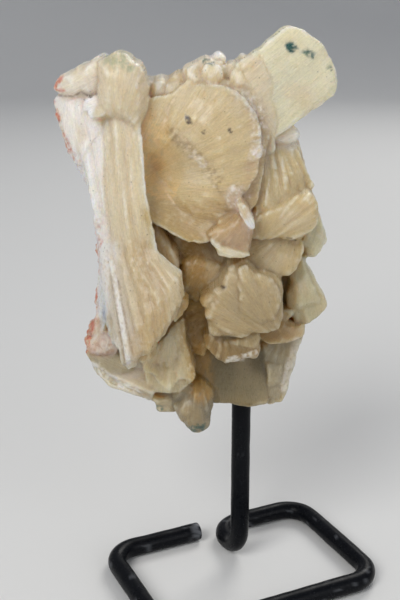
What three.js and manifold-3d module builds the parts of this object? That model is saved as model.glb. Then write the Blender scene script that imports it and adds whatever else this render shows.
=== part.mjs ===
// A stilbite specimen on a stand: a cluster of sheaf-like zeolite crystals, grown together on a
// thin wall of their host rock, held up on a post that is one end of a bent, black-painted steel rod.
// Millimetres, +Z up. The rod's rectangular foot lies square to X and Y, and the cluster is turned
// a little on its post.
import * as THREE from 'three';
import { mergeVertices } from 'three/addons/utils/BufferGeometryUtils.js';
import Module from 'manifold-3d';

const wasm = await Module();
wasm.setup();

// Driving dimensions of the stand.
const rodDiameter = 6.35;
const footWidth = 76; // between the centrelines of the left and right runs
const footDepth = 51; // between the centrelines of the front and back runs
const footCentre = { x: -3.2, y: -7.1 }; // seen from the post's axis
const bendRadius = 9; // of the rod's centreline
const freeEndX = -7; // where the rod's free end stops, on the back run
const postTop = 84;
const clusterTurn = THREE.MathUtils.degToRad(-25.2); // the cluster's front, seen from the foot's front

// Driving dimensions of the hole that the post goes into.
const socketClearance = 0.35;
const socketTop = 86;

// How finely the joined cluster is kept.
const simplifyTo = 0.1;
const gridStep = 0.02;
const offset = 0.08; // the most that a crystal is shifted, so that faces don't coincide

const rodRadius = rodDiameter / 2;
const rodSides = 12;
const bendSteps = 6;

// The same small numbers in the same order on every run.
function seededNumbers(seed) {
  let state = seed >>> 0;
  return (low = 0, high = 1) => {
    state = (Math.imul(state, 1664525) + 1013904223) >>> 0;
    return low + (high - low) * (state / 4294967296);
  };
}

// The stand.

// A path through chosen stations, so that a straight run takes one step and a bend takes a few.
class StationPath extends THREE.Curve {
  constructor() {
    super();
    this.points = [];
    this.tangents = [];
  }
  add(point, tangent) {
    this.points.push(point);
    this.tangents.push(tangent);
  }
  // A quarter bend that ends at a point, from one heading to another.
  bend(corner, from, to) {
    const centre = corner.clone().addScaledVector(from, -bendRadius).addScaledVector(to, bendRadius);
    for (let i = 0; i <= bendSteps; i += 1) {
      const angle = (i / bendSteps) * (Math.PI / 2);
      const point = centre
        .clone()
        .addScaledVector(to, -bendRadius * Math.cos(angle))
        .addScaledVector(from, bendRadius * Math.sin(angle));
      const tangent = from.clone().multiplyScalar(Math.cos(angle)).addScaledVector(to, Math.sin(angle));
      this.add(point, tangent);
    }
  }
  getPoint(t) {
    return this.points[Math.round(t * (this.points.length - 1))].clone();
  }
  getTangent(t) {
    return this.tangents[Math.round(t * (this.points.length - 1))].clone();
  }
  getPointAt(t) {
    return this.getPoint(t);
  }
  getTangentAt(t) {
    return this.getTangent(t);
  }
  getSpacedPoints(count) {
    return this.getPoints(count);
  }
}

function standGeometry() {
  const left = footCentre.x - footWidth / 2;
  const right = footCentre.x + footWidth / 2;
  const front = footCentre.y - footDepth / 2;
  const back = footCentre.y + footDepth / 2;
  const at = (x, y, z = rodRadius) => new THREE.Vector3(x, y, z);
  const [west, east] = [new THREE.Vector3(-1, 0, 0), new THREE.Vector3(1, 0, 0)];
  const [south, north] = [new THREE.Vector3(0, -1, 0), new THREE.Vector3(0, 1, 0)];
  const up = new THREE.Vector3(0, 0, 1);
  const path = new StationPath();
  path.add(at(freeEndX, back), west);
  path.bend(at(left, back), west, south);
  path.bend(at(left, front), south, east);
  path.bend(at(right, front), east, north);
  path.bend(at(right, back), north, west);
  path.bend(at(0, back), west, south);
  path.bend(at(0, 0), south, up);
  path.add(at(0, 0, postTop), up);
  const section = new THREE.Shape();
  const corner = rodRadius / Math.cos(Math.PI / rodSides); // the flats stand at the rod's radius
  for (let i = 0; i < rodSides; i += 1) {
    const angle = ((i + 0.5) / rodSides) * 2 * Math.PI;
    const [x, y] = [corner * Math.cos(angle), corner * Math.sin(angle)];
    if (i === 0) section.moveTo(x, y);
    else section.lineTo(x, y);
  }
  return new THREE.ExtrudeGeometry(section, { steps: path.points.length - 1, extrudePath: path });
}

// The cluster. Its own x runs to the right across its front, y goes into it, and z is up,
// from the point on the table under the post.

// A tabular crystal that follows stations [x, y, z, half width, half thickness]. Its broad face looks
// along face, and its section is a rectangle with chamfered edges.
const bladeSides = 8;
const chamfer = 0.55;
function blade(stations, face = [0, -1, 0]) {
  const rings = stations.length;
  const geometry = new THREE.CylinderGeometry(1, 1, 1, bladeSides, rings - 1, false, Math.PI / bladeSides);
  const first = new THREE.Vector3(...stations[0]);
  const last = new THREE.Vector3(...stations[rings - 1]);
  const along = last.sub(first).normalize();
  const across = new THREE.Vector3(...face).cross(along).normalize();
  const through = along.clone().cross(across);
  const position = geometry.attributes.position;
  const spread = (value) => Math.sign(value) * Math.abs(value) ** chamfer;
  for (let i = 0; i < position.count; i += 1) {
    const [a, level, b] = [position.getX(i), position.getY(i), position.getZ(i)];
    const [x, y, z, halfWidth, halfThickness] = stations[Math.round((0.5 - level) * (rings - 1))];
    const point = new THREE.Vector3(x, y, z)
      .addScaledVector(across, spread(a) * halfWidth)
      .addScaledVector(through, spread(b) * halfThickness);
    position.setXYZ(i, point.x, point.y, point.z);
  }
  return geometry;
}

// The mean of one coordinate of a list of points.
function meanOf(points, k) {
  return points.reduce((sum, point) => sum + point[k], 0) / points.length;
}

// A crystal drawn by its outline, [x, z] points seen from the front, from its front to its back.
// up and side lean its faces: the y that is gained for each millimetre up or to the right.
function plate(outline, front, back, { up = 0, side = 0, edge = 1.2 } = {}) {
  const shape = new THREE.Shape(outline.map(([x, z]) => new THREE.Vector2(x, z)));
  const geometry = new THREE.ExtrudeGeometry(shape, {
    depth: back - front - 2 * edge,
    bevelThickness: edge,
    bevelSize: edge,
    bevelOffset: -edge,
    bevelSegments: 1,
  });
  geometry.rotateX(Math.PI / 2);
  geometry.translate(0, back - edge, 0);
  const [middleX, middleZ] = [meanOf(outline, 0), meanOf(outline, 1)];
  const position = geometry.attributes.position;
  for (let i = 0; i < position.count; i += 1) {
    const lean = up * (position.getZ(i) - middleZ) + side * (position.getX(i) - middleX);
    position.setY(i, position.getY(i) + lean);
  }
  return geometry;
}

// A crystal with a swelling face. Its rim is a loop of [x, y, z] points, and its face runs from a hub out to
// the rim: power rounds it over at the rim, bulge lifts the longest of its rays in between, and pleat is the
// depth of its ridges.
function lobe(rim, hub, back, { power = 4, bulge = 0, pleat = 0, rings = 3 } = {}) {
  const turn = rim.reduce((sum, [x, , z], i) => {
    const [nextX, , nextZ] = rim[(i + 1) % rim.length];
    return sum + x * nextZ - nextX * z;
  }, 0);
  const loop = turn > 0 ? rim : [...rim].reverse();
  const sides = loop.length;
  const rays = loop.map(([x, , z]) => Math.hypot(x - hub[0], z - hub[2]));
  const longest = Math.max(...rays);
  const geometry = new THREE.SphereGeometry(1, sides, rings + 2);
  const position = geometry.attributes.position;
  for (let i = 0; i < position.count; i += 1) {
    const side = (i % (sides + 1)) % sides;
    const ring = Math.floor(i / (sides + 1));
    const [x, y, z] = loop[side];
    if (ring <= rings) {
      const r = ring / rings;
      const ridge = side % 2 === 0 ? pleat * r : 0;
      const lift = bulge * Math.sin(Math.PI * r) * (rays[side] / longest);
      const depth = hub[1] + (y - hub[1]) * r ** power - lift + ridge;
      position.setXYZ(i, hub[0] + (x - hub[0]) * r, depth, hub[2] + (z - hub[2]) * r);
    } else {
      const r = ring === rings + 1 ? 0.96 : 0;
      position.setXYZ(i, hub[0] + (x - hub[0]) * r, back, hub[2] + (z - hub[2]) * r);
    }
  }
  return geometry;
}

// A flat outline of [x, z] points as a rim at one depth, which leans by up and side for each millimetre.
function rimAt(outline, depth, { up = 0, side = 0 } = {}) {
  const [middleX, middleZ] = [meanOf(outline, 0), meanOf(outline, 1)];
  return outline.map(([x, z]) => [x, depth + up * (z - middleZ) + side * (x - middleX), z]);
}

// A lobe over a flat outline, whose hub stands proud of its rim.
function dome(outline, front, back, { up = 0, side = 0, proud = 3, hub, ...rest } = {}) {
  const [middleX, middleZ] = [meanOf(outline, 0), meanOf(outline, 1)];
  const [x, z] = hub ?? [middleX, middleZ];
  const depth = front + up * (z - middleZ) + side * (x - middleX);
  return lobe(rimAt(outline, front + proud, { up, side }), [x, depth, z], back, rest);
}

// A bundle of blades that open out from a root towards a row of tips, each facing square to the row.
// The bulge bends each blade forward at its middle.
function sheaf({ root, tips, rootSize, tipSize, bulge = [0, 0, 0], middle = 0.55, rough = 0.5, seed = 1 }) {
  const random = seededNumbers(seed);
  const facing = rowNormals(tips, tips.map(() => root));
  return tips.map((tip, i) => {
    const jitter = random(-rough, rough);
    const centre = root.map((value, k) => value + (tip[k] - value) * middle + bulge[k]);
    const size = (share) => rootSize.map((value, k) => value + (tipSize[k] - value) * share);
    const [wide, thick] = size(middle);
    const shoulder = root.map((value, k) => value + (tip[k] - value) * 0.9 + bulge[k] * 0.35);
    return blade(
      [
        [...root, ...rootSize],
        [centre[0], centre[1] + jitter, centre[2], wide, thick],
        [shoulder[0], shoulder[1] + jitter, shoulder[2], ...tipSize],
        [...tip, tipSize[0] * 0.55, tipSize[1] * 0.4],
      ],
      facing[i],
    );
  });
}

// The way that each blade in a row faces, from the line of its tip's neighbours and from its own length.
function rowNormals(tips, roots) {
  return tips.map((tip, i) => {
    const before = new THREE.Vector3(...tips[Math.max(i - 1, 0)]);
    const after = new THREE.Vector3(...tips[Math.min(i + 1, tips.length - 1)]);
    const length = new THREE.Vector3(...tip).sub(new THREE.Vector3(...roots[i]));
    const normal = after.sub(before).cross(length).normalize();
    return normal.y > 0 ? normal.negate().toArray() : normal.toArray();
  });
}

// The long sheaf that stands at the left, one blade beside the next from right to left.
function columnCrystals() {
  const foot = [
    [-18.2, -31, 103.6], [-18.8, -32.4, 101.4], [-20.6, -33.6, 99.4], [-21.6, -34.6, 96.4], [-23.4, -35.2, 95],
    [-24.6, -35.6, 92.2], [-26.8, -36, 90.8], [-28, -36.2, 88.2], [-30.2, -36.2, 87.8], [-32.2, -35.6, 85.6],
    [-34, -34.4, 85.8], [-35.6, -32.2, 82.5], [-37.4, -29, 87.4], [-39.2, -26, 87], [-41, -21.6, 90.4],
  ];
  const random = seededNumbers(7);
  const last = foot.length - 1;
  const heads = foot.map((_, i) => [-33 - (11 * i) / last, -13 + (4 * i) / last, 155.5]);
  const facing = rowNormals(foot, heads);
  return foot.map(([x, y, z], i) => {
    const share = i / last;
    const lift = random(-0.35, 0.35);
    return blade(
      [
        [...heads[i], 2.4, 6],
        [-32.3 - 12.4 * share, -16 + 5 * share + lift, 147, 2.6, 7],
        [-31.4 - 12.6 * share, -18.5 + 5 * share + lift, 133, 2.6, 7],
        [-28.6 - 13.6 * share, -22 + 6 * share + lift, 117, 2.7, 7.5],
        [x - (x + 31) * 0.2, y + 4, z + 9, 2.7, 5.5],
        [x - (x + 31) * 0.05, y + 1.2, z + 2.4, 2.4, 3.2],
        [x, y + 1.2, z, 1.1, 1.6],
      ],
      facing[i],
    );
  });
}

// The lobes above the column, and its left flank.
function crownCrystals() {
  const crown = [
    [-45, 160], [-43.5, 168], [-42, 171.3], [-39, 173], [-36, 173.4], [-33, 172.6], [-30.5, 170],
    [-29, 166], [-28, 161.5], [-28.6, 156.5], [-31, 152], [-38, 152], [-43, 155],
  ];
  const leftLobe = [
    [-57, 159.5], [-56, 164], [-53.5, 166.6], [-50, 168.4], [-46, 170.3], [-42, 171], [-40, 160],
    [-48, 157.6], [-54, 157.4],
  ];
  const flank = [
    [-57, 157.5], [-56, 152.5], [-53.5, 146], [-50.5, 140.5], [-47, 133], [-43, 131], [-41, 140],
    [-42, 157],
  ];
  const ledge = [[-47, 158], [-44, 160.5], [-40, 159.5], [-38, 156.5], [-41, 154], [-46, 154]];
  return [
    dome(crown, -20.5, -2, { up: 0.12, proud: 6, power: 3 }),
    dome(leftLobe, -13.5, 10, { up: 0.15, side: -0.25, proud: 4, hub: [-48, 163.5] }),
    dome(flank, -14, 8, { up: -0.05, side: -0.45, proud: 3, hub: [-47, 146] }),
    plate(ledge, -21, -8, { up: 0.35 }),
    blade([[-46, -8, 150, 4, 7], [-45, -11, 130, 3.4, 7], [-43.6, -12, 112, 3, 7], [-44, -14, 97, 2.6, 6],
      [-43.5, -15, 88, 1.6, 3]]),
  ];
}

// The large fan in the middle, whose ridges radiate from a point deep beside the column.
function fanCrystals() {
  const rim = [
    [-30.5, -10, 140], [-30.5, -9, 150], [-29, -9.5, 157], [-25, -11, 161.2], [-20.5, -12.5, 164.4],
    [-15, -14, 166], [-9.5, -15, 166.4], [-4, -16, 165], [0.5, -17, 161.9], [3.8, -18, 157.6],
    [5.7, -19, 152], [6, -20, 146], [4.7, -21.5, 140], [2, -23, 134.6], [-3, -23, 129.6],
    [-8, -22, 126.2], [-13.5, -20, 123.8], [-19, -17.5, 125], [-24, -14.5, 128], [-28.5, -12, 132],
  ];
  const finer = rim.flatMap((point, i) => {
    const next = rim[(i + 1) % rim.length];
    return [point, point.map((value, k) => (value + next[k]) / 2)];
  });
  return [lobe(finer, [-26.5, -11, 139], 2, { power: 1.2, bulge: 8.5, pleat: 0.3, rings: 5 })];
}

// The square-edged crystal with the round end that points up and to the right.
function topCrystals() {
  const face = [
    [-6, 163], [2, 173], [9, 178.3], [11.5, 179.6], [14.5, 180], [17.5, 178.9], [20.3, 176.3],
    [22.8, 173], [24.8, 169.3], [26.1, 165.3], [26.3, 161.8], [25, 159.6], [15, 151], [6, 145], [-2, 150],
  ];
  const step = [
    [-3, 163], [3, 171.8], [9.5, 177], [13.5, 178.2], [15, 175.5], [5, 166.5], [0, 159],
  ];
  const backStep = [[4, 160], [12, 172], [18, 177], [23, 170], [24, 163], [15, 155], [8, 152]];
  const chip = [[6, 149], [14.5, 152.5], [16.6, 149.5], [15.4, 147.6], [12, 146.6], [6, 145]];
  return [
    plate(face, -11, 0, { up: 0.1, side: 0.1, edge: 1.3 }),
    plate(step, -12.3, -5, { up: 0.1, side: 0.1, edge: 0.8 }),
    plate(backStep, -5, 3.5, { up: 0.1, side: 0.1, edge: 1.2 }),
    plate(chip, -9, 1, { up: -0.2, side: 0.1, edge: 0.8 }),
  ];
}

// Small crystals along the top edge, behind the fan.
function crestCrystals() {
  const block = [[-18.3, 160], [-18.6, 167.5], [-16, 169.3], [-13.6, 170.2], [-10, 170.6], [-5.5, 168.5],
    [-5, 160]];
  const peak = [[-10.5, 168], [-9.8, 171], [-8.2, 172], [-7, 171], [-6.6, 167.5], [-8, 165]];
  const shoulder = [[-5.6, 160], [-5.8, 167.2], [-4, 169.2], [-1.6, 169.8], [0.4, 171.4], [3, 172.4],
    [6, 163]];
  const saddle = [[-31.5, 152], [-30.8, 164.2], [-26, 165.6], [-23.4, 165.2], [-21, 166.8], [-17, 166],
    [-17, 155]];
  return [
    plate(block, -7, 8, { up: 0.3 }),
    plate(peak, -3, 7, { up: 0.1, edge: 0.8 }),
    plate(shoulder, -7, 7, { up: 0.25 }),
    plate(saddle, -5, 9, { up: 0.2 }),
    blade([[-24, 2, 158, 3, 4], [-25.5, 1, 163, 2.5, 3.5], [-27, 0, 165.8, 1.2, 1.5]]),
    blade([[-20, 0, 158, 3, 4], [-20.5, -1, 164, 2.6, 3.4], [-21, -1, 167, 1.3, 1.6]]),
  ];
}

// The hanging sheaf at the right, and the blocks that overlap it.
function rightCrystals() {
  const upperBlock = [[4, 133], [12, 136.5], [18, 131.5], [20.4, 130.4], [22.6, 129], [23.2, 125.5],
    [22.6, 121.5], [20, 118.5], [16.5, 116.5], [12, 117.3], [6, 119], [2, 124]];
  const outerBlock = [[20, 126], [23.2, 125.5], [24.3, 120], [25.2, 116], [24.8, 113.4], [22.6, 112.8],
    [21.8, 111], [18.8, 111], [16, 114], [17, 122]];
  const lowerBlock = [[-2, 119], [0, 115.5], [3.5, 111.5], [8, 110.3], [13, 110.5], [16.4, 114], [16.4, 121],
    [8, 124], [0, 123]];
  const paleBlock = [[18.6, 112.5], [20.2, 109.3], [21.4, 106], [23.2, 103.2], [25, 100.5], [26.4, 97],
    [25.3, 94.8], [23.3, 93.4], [21.8, 91.2], [19, 89.6], [16.8, 91], [15, 94.8], [13.6, 99], [13.9, 104],
    [15.4, 108.8]];
  const paleStep = [[18.4, 108.5], [20, 105], [22, 101.5], [23.4, 97.5], [21.4, 94.6], [18.5, 93], [16.4, 97],
    [15.8, 103]];
  const hanging = sheaf({
    root: [9.5, -2, 151],
    tips: [
      [18.6, -2, 129], [16.2, -6, 127], [13, -9, 125.5], [9.5, -11, 124.5], [6, -13, 124], [2.6, -14, 125],
    ],
    rootSize: [3.2, 4],
    tipSize: [2.9, 6],
    bulge: [0.8, -2.5, 0],
    seed: 11,
  });
  return [
    ...hanging,
    blade([[12.5, 4, 148, 3.6, 5], [16, 3, 137, 3.2, 6], [18.6, 3, 128, 3, 6], [21, 2, 116, 3, 5]]),
    dome(upperBlock, -16.5, 4, { up: 0.18, side: 0.22, proud: 4 }),
    dome(outerBlock, -7, 5, { up: 0.05, side: 0.15, proud: 2 }),
    dome(lowerBlock, -17, 4, { up: 0.3, side: 0.1, proud: 3 }),
    dome(paleBlock, -10, 1, { up: 0.12, side: 0.12, proud: 2.5 }),
    plate(paleStep, -10.2, -3, { up: 0.12, side: 0.12, edge: 0.8 }),
  ];
}

// The knot of overlapping lobes below the fan.
function middleCrystals() {
  const mainLobe = [[-6.5, 112.5], [-1, 114.3], [4, 112.3], [8, 109.8], [11, 106], [11.6, 101], [11.2, 97],
    [8.6, 94.3], [2, 93], [-5, 93], [-9.5, 94.5], [-11, 98], [-10.6, 101], [-12.6, 103.3], [-9.5, 108]];
  const frontLobe = [[-11.3, 99.5], [-5, 102], [0, 99], [2.5, 94], [2, 90.6], [-3, 89], [-7.6, 89.4],
    [-11, 92.4], [-12, 96]];
  const sideLobe = [[1, 97], [5.6, 98.5], [8.6, 96], [9, 92.5], [5, 90], [0, 89.6]];
  const hem = [[-12.2, 88.4], [-9.8, 85.6], [-6.6, 83.6], [-3, 82.9], [-0.5, 84.3], [1.6, 88], [1, 92],
    [-8, 93]];
  const shelf = [[3, 96], [10, 96], [16.6, 97], [16.6, 93], [13, 89.5], [6, 89]];
  const backWall = [[-22, 122], [-17, 126], [-6, 125], [3, 119], [1, 106], [-7, 103], [-13, 96], [-20, 100],
    [-23, 112]];
  const cheek = [[-27.5, 121.5], [-24.5, 120.5], [-21.6, 116.5], [-19.6, 112.3], [-19.9, 107.6],
    [-24, 108], [-27.5, 113]];
  const brow = [[-11.4, 123], [-10.6, 118.7], [-8.3, 116.6], [-5, 115.6], [-1.2, 115.3], [1.4, 118],
    [2.4, 124.5], [1, 130], [-4, 130], [-9.5, 127.5]];
  const lip = [[-9, 118], [-7.4, 116.2], [-4, 114.9], [-1, 114.7], [0.5, 117.5], [-3, 121], [-7, 121]];
  const shard = [[-2.2, 132.6], [0.4, 130.5], [2.8, 126.4], [3.4, 122.6], [1, 121.3], [-0.8, 126]];
  return [
    plate(backWall, -11, 6, { up: -0.05, side: 0.05 }),
    dome(cheek, -18, -2, { up: 0.1, side: -0.3, proud: 3 }),
    dome(mainLobe, -24, -3, { up: 0.22, side: 0.18, proud: 3.5 }),
    dome(frontLobe, -25.8, -5, { up: 0.12, side: 0.05, proud: 3 }),
    dome(sideLobe, -23, -5, { up: 0.15, side: 0.12 }),
    dome(hem, -22.5, -4, { up: 0.1, proud: 2.5 }),
    plate(shelf, -14, 2, { up: 0.2, side: 0.1 }),
    dome(brow, -26, -6, { up: -0.12, side: 0.1, proud: 3 }),
    dome(lip, -27, -10, { up: 0.1, side: 0.05, proud: 2.5 }),
    plate(shard, -26.5, -10, { up: -0.1, side: 0.3, edge: 0.7 }),
  ];
}

// The low fan and the blades under the column's foot.
function footCrystals() {
  const lowFan = [
    [-29, -12, 99], [-31.4, -17, 88], [-31, -20.5, 79.5], [-28.8, -23, 75.8], [-25.6, -24.5, 73.2],
    [-22.2, -25, 72.4], [-19.2, -23.5, 74.2], [-17.2, -20.5, 78], [-16.2, -17, 83], [-17.6, -14, 92],
    [-19, -11, 100],
  ];
  const lowFanRim = lowFan.flatMap((point, i) => {
    const next = lowFan[(i + 1) % lowFan.length];
    return [point, point.map((value, k) => (value + next[k]) / 2)];
  });
  const lowBody = [[-31, 84], [-29, 77], [-24, 74], [-19, 75.5], [-16.4, 80], [-16.6, 87], [-18.4, 92],
    [-19, 99], [-25, 100], [-30, 92]];
  const pendant = [[-21, 77], [-15, 76], [-12, 73.6], [-10.2, 70.8], [-9.8, 66.5], [-10.2, 62], [-11.2, 59],
    [-13.6, 57.6], [-17, 57.6], [-19.4, 59.6], [-21.4, 62.2], [-24, 64.6], [-24, 72]];
  const pendantStep = [[-28.4, 66], [-26.6, 63.8], [-22.6, 63.6], [-20, 67], [-22, 73], [-28, 71]];
  const pinkFoot = [[-49, 98], [-47.6, 90], [-50.6, 84.5], [-51.6, 81.6], [-50, 78], [-44, 78.6], [-39, 80],
    [-37, 86], [-38, 96], [-42, 101]];
  const greyFoot = [[-51, 80.5], [-49, 76.6], [-40, 74], [-33, 72], [-28, 75], [-30, 84], [-40, 84]];
  const paleRib = [[-49.6, 77.6], [-47.4, 74.6], [-44, 71.8], [-40.6, 69.8], [-35.6, 67.6], [-29.6, 65],
    [-25, 65.6], [-24, 74], [-36, 76]];
  return [
    plate(lowBody, -19, 0, { up: 0.1, edge: 1.5 }),
    lobe(lowFanRim, [-23.5, -13, 99], 0, { power: 1, bulge: 4.5, pleat: 0.6, rings: 4 }),
    dome(pendant, -18, -4, { up: 0.1, side: 0.15, proud: 4 }),
    plate(pendantStep, -14, -2, { up: 0.1 }),
    plate(pinkFoot, -14, 8, { side: -0.3 }),
    plate(greyFoot, -13, 8, { up: 0.1, side: -0.15 }),
    plate(paleRib, -12, 8, { up: 0.25, side: -0.1 }),
    blade([[-48, -9, 76, 2, 3], [-42, -13.5, 71.6, 2.6, 3], [-35, -15, 69.4, 2.4, 3], [-28, -15, 66, 1.4, 2]],
      [0, -1, 0.6]),
  ];
}

// The broad smooth crystal at the bottom, which the post goes up into.
function baseCrystals() {
  const smooth = [[-17, 86], [-14, 74], [-9.4, 64], [-4, 64], [-1, 61.6], [2, 60.8], [6, 62.2], [10, 63],
    [10, 76], [6, 88], [-6, 92]];
  const corner = [[7, 82], [8, 70], [9.4, 63.4], [13, 62.2], [15.4, 69.6], [17, 76], [18.6, 82], [19.6, 89],
    [16, 95], [9, 93]];
  const face = [[9, 79], [9.6, 71], [10.6, 65.6], [12.6, 64.6], [14.2, 70.6], [14.6, 76.6], [12.6, 80.6]];
  return [
    plate(smooth, -9.5, 14, { up: 0.16, edge: 1 }),
    plate(corner, -8, 12, { up: 0.12, side: 0.2, edge: 1 }),
    plate(face, -9.4, 0, { up: 0.12, side: 0.3, edge: 0.7 }),
  ];
}

// The wall of host rock that the crystals grew on, with a lumpy back.
function wallOfRock() {
  const wall = [[-56, 161], [-55, 150], [-50, 139], [-46, 128], [-44.5, 120], [-46, 105], [-47, 92],
    [-50, 82], [-46, 75], [-36, 68], [-24, 66], [-9, 64], [12, 64], [16.6, 78], [19, 92], [20.6, 110],
    [20, 124], [14, 144], [6, 160], [-8, 167], [-25, 163.5], [-42, 168.5]];
  const inner = [[-46, 152], [-40, 120], [-40, 90], [-30, 76], [6, 74], [12, 96], [14, 120], [4, 148],
    [-10, 158], [-30, 158]];
  return [plate(wall, -4, 15, { edge: 4 }), plate(inner, 5, 21, { up: -0.04, side: -0.08, edge: 4 })];
}

function lump(x, y, z, size, random) {
  const geometry = new THREE.IcosahedronGeometry(1, 0);
  geometry.scale(size * random(0.8, 1.3), size * random(0.45, 0.7), size * random(0.8, 1.3));
  geometry.rotateZ(random(-0.5, 0.5)).rotateX(random(-0.5, 0.5)).rotateY(random(0, Math.PI));
  return geometry.translate(x, y, z);
}

function backLumps() {
  const random = seededNumbers(23);
  const lumps = [];
  for (let row = 0; row < 6; row += 1) {
    for (let column = 0; column < 4; column += 1) {
      const x = -42 + column * 15 + random(-4, 4);
      const z = 80 + row * 14.5 + random(-4, 4);
      lumps.push(lump(x, 17.5 + random(-1, 2), z, random(6, 9), random));
    }
  }
  return lumps;
}

// The beaded red crust that follows the broken left edge.
function edgeCrust() {
  const random = seededNumbers(41);
  const edge = new THREE.CatmullRomCurve3(
    [[-56, 0, 156], [-54, 1, 146], [-49.6, 3, 138.5], [-45.8, 4, 128], [-44.2, 4, 119], [-45.2, 4, 106],
      [-46.6, 3, 95], [-50, 0, 83]].map((point) => new THREE.Vector3(...point)),
  );
  const beads = [];
  for (let i = 0; i < 30; i += 1) {
    const point = edge.getPointAt(i / 29);
    const size = random(1.4, 2.3);
    beads.push(lump(point.x + random(-0.3, 0.8), point.y + random(-5, 7), point.z, size, random));
  }
  return beads;
}

// A closed mesh as a solid that can be joined and cut.
function solid(geometry) {
  const bare = geometry.clone();
  bare.deleteAttribute('normal');
  bare.deleteAttribute('uv');
  bare.clearGroups();
  const merged = mergeVertices(bare, 1e-4);
  return new wasm.Manifold(
    new wasm.Mesh({
      numProp: 3,
      vertProperties: Float32Array.from(merged.attributes.position.array),
      triVerts: Uint32Array.from(merged.index.array),
    }),
  );
}

// A solid as a geometry whose vertices sit on a fine grid, without the faces that collapse on it.
function snapped(body) {
  const { vertProperties, triVerts } = body.getMesh();
  const onGrid = Float32Array.from(vertProperties, (value) => Math.round(value / gridStep) * gridStep);
  const loose = new THREE.BufferGeometry();
  loose.setAttribute('position', new THREE.BufferAttribute(onGrid, 3));
  loose.setIndex(new THREE.BufferAttribute(Uint32Array.from(triVerts), 1));
  const merged = mergeVertices(loose, gridStep / 4);
  const corners = Array.from(merged.index.array);
  const kept = corners.filter((_, i) => {
    const [a, b, c] = corners.slice(i - (i % 3), i - (i % 3) + 3);
    return a !== b && b !== c && c !== a;
  });
  merged.setIndex(kept);
  return merged.toNonIndexed();
}

function clusterGeometry() {
  const crystals = [
    ...wallOfRock(),
    ...backLumps(),
    ...edgeCrust(),
    ...columnCrystals(),
    ...crownCrystals(),
    ...fanCrystals(),
    ...topCrystals(),
    ...crestCrystals(),
    ...rightCrystals(),
    ...middleCrystals(),
    ...footCrystals(),
    ...baseCrystals(),
  ];
  const socketRadius = rodRadius / Math.cos(Math.PI / rodSides) + socketClearance;
  const socketFloor = 40; // below the lowest crystal
  const socket = new THREE.CylinderGeometry(socketRadius, socketRadius, socketTop - socketFloor, rodSides)
    .rotateX(Math.PI / 2)
    .translate(0, 0, (socketTop + socketFloor) / 2);
  // No two crystals keep a face or an edge in common.
  const random = seededNumbers(97);
  for (const crystal of crystals) {
    crystal.translate(random(-offset, offset), random(-offset, offset), random(-offset, offset));
  }
  const joined = crystals.map(solid).reduce((whole, crystal) => whole.add(crystal));
  const drilled = joined.subtract(solid(socket)).asOriginal().simplify(simplifyTo);
  // The largest shell is the outside, so small hollows closed in between the crystals are filled.
  const outside = drilled.decompose().reduce((most, shell) => (shell.volume() > most.volume() ? shell : most));
  return snapped(outside);
}

// The object, with its origin on the table under the middle of its box.
const cluster = new THREE.Mesh(
  clusterGeometry(),
  new THREE.MeshStandardMaterial({ color: 0xd9c7a0, roughness: 0.45, metalness: 0, flatShading: true }),
);
cluster.name = 'stilbite_cluster';
const stand = new THREE.Mesh(
  standGeometry(),
  new THREE.MeshStandardMaterial({ color: 0x0b0d12, roughness: 0.3, metalness: 0 }),
);
stand.name = 'bent_rod_stand';

const onPost = new THREE.Group();
onPost.rotation.z = clusterTurn;
onPost.add(cluster);

const specimen = new THREE.Group();
specimen.add(onPost, stand);
specimen.updateMatrixWorld(true);
const box = new THREE.Box3().setFromObject(specimen, true);
const middle = box.getCenter(new THREE.Vector3());
specimen.position.set(-middle.x, -middle.y, -box.min.z);

export default specimen;
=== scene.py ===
import bpy
import bmesh
import itertools
import math
import time
import numpy as np
from mathutils import Matrix, Vector
from mathutils.bvhtree import BVHTree


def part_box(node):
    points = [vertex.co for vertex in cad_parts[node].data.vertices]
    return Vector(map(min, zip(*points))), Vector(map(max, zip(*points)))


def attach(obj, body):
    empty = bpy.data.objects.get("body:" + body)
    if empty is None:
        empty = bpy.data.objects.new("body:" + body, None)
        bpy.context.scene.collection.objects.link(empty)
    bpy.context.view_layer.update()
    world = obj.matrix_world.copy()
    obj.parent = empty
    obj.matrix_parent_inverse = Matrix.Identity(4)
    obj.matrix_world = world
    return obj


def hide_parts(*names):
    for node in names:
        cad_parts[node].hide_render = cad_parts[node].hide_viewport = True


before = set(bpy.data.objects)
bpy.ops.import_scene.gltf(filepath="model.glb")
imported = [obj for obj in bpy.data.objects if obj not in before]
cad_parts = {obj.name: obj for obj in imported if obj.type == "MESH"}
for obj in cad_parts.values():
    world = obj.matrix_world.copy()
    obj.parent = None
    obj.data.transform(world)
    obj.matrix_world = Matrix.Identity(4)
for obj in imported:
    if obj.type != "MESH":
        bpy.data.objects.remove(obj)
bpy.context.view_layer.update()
startTime = time.time()

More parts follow.
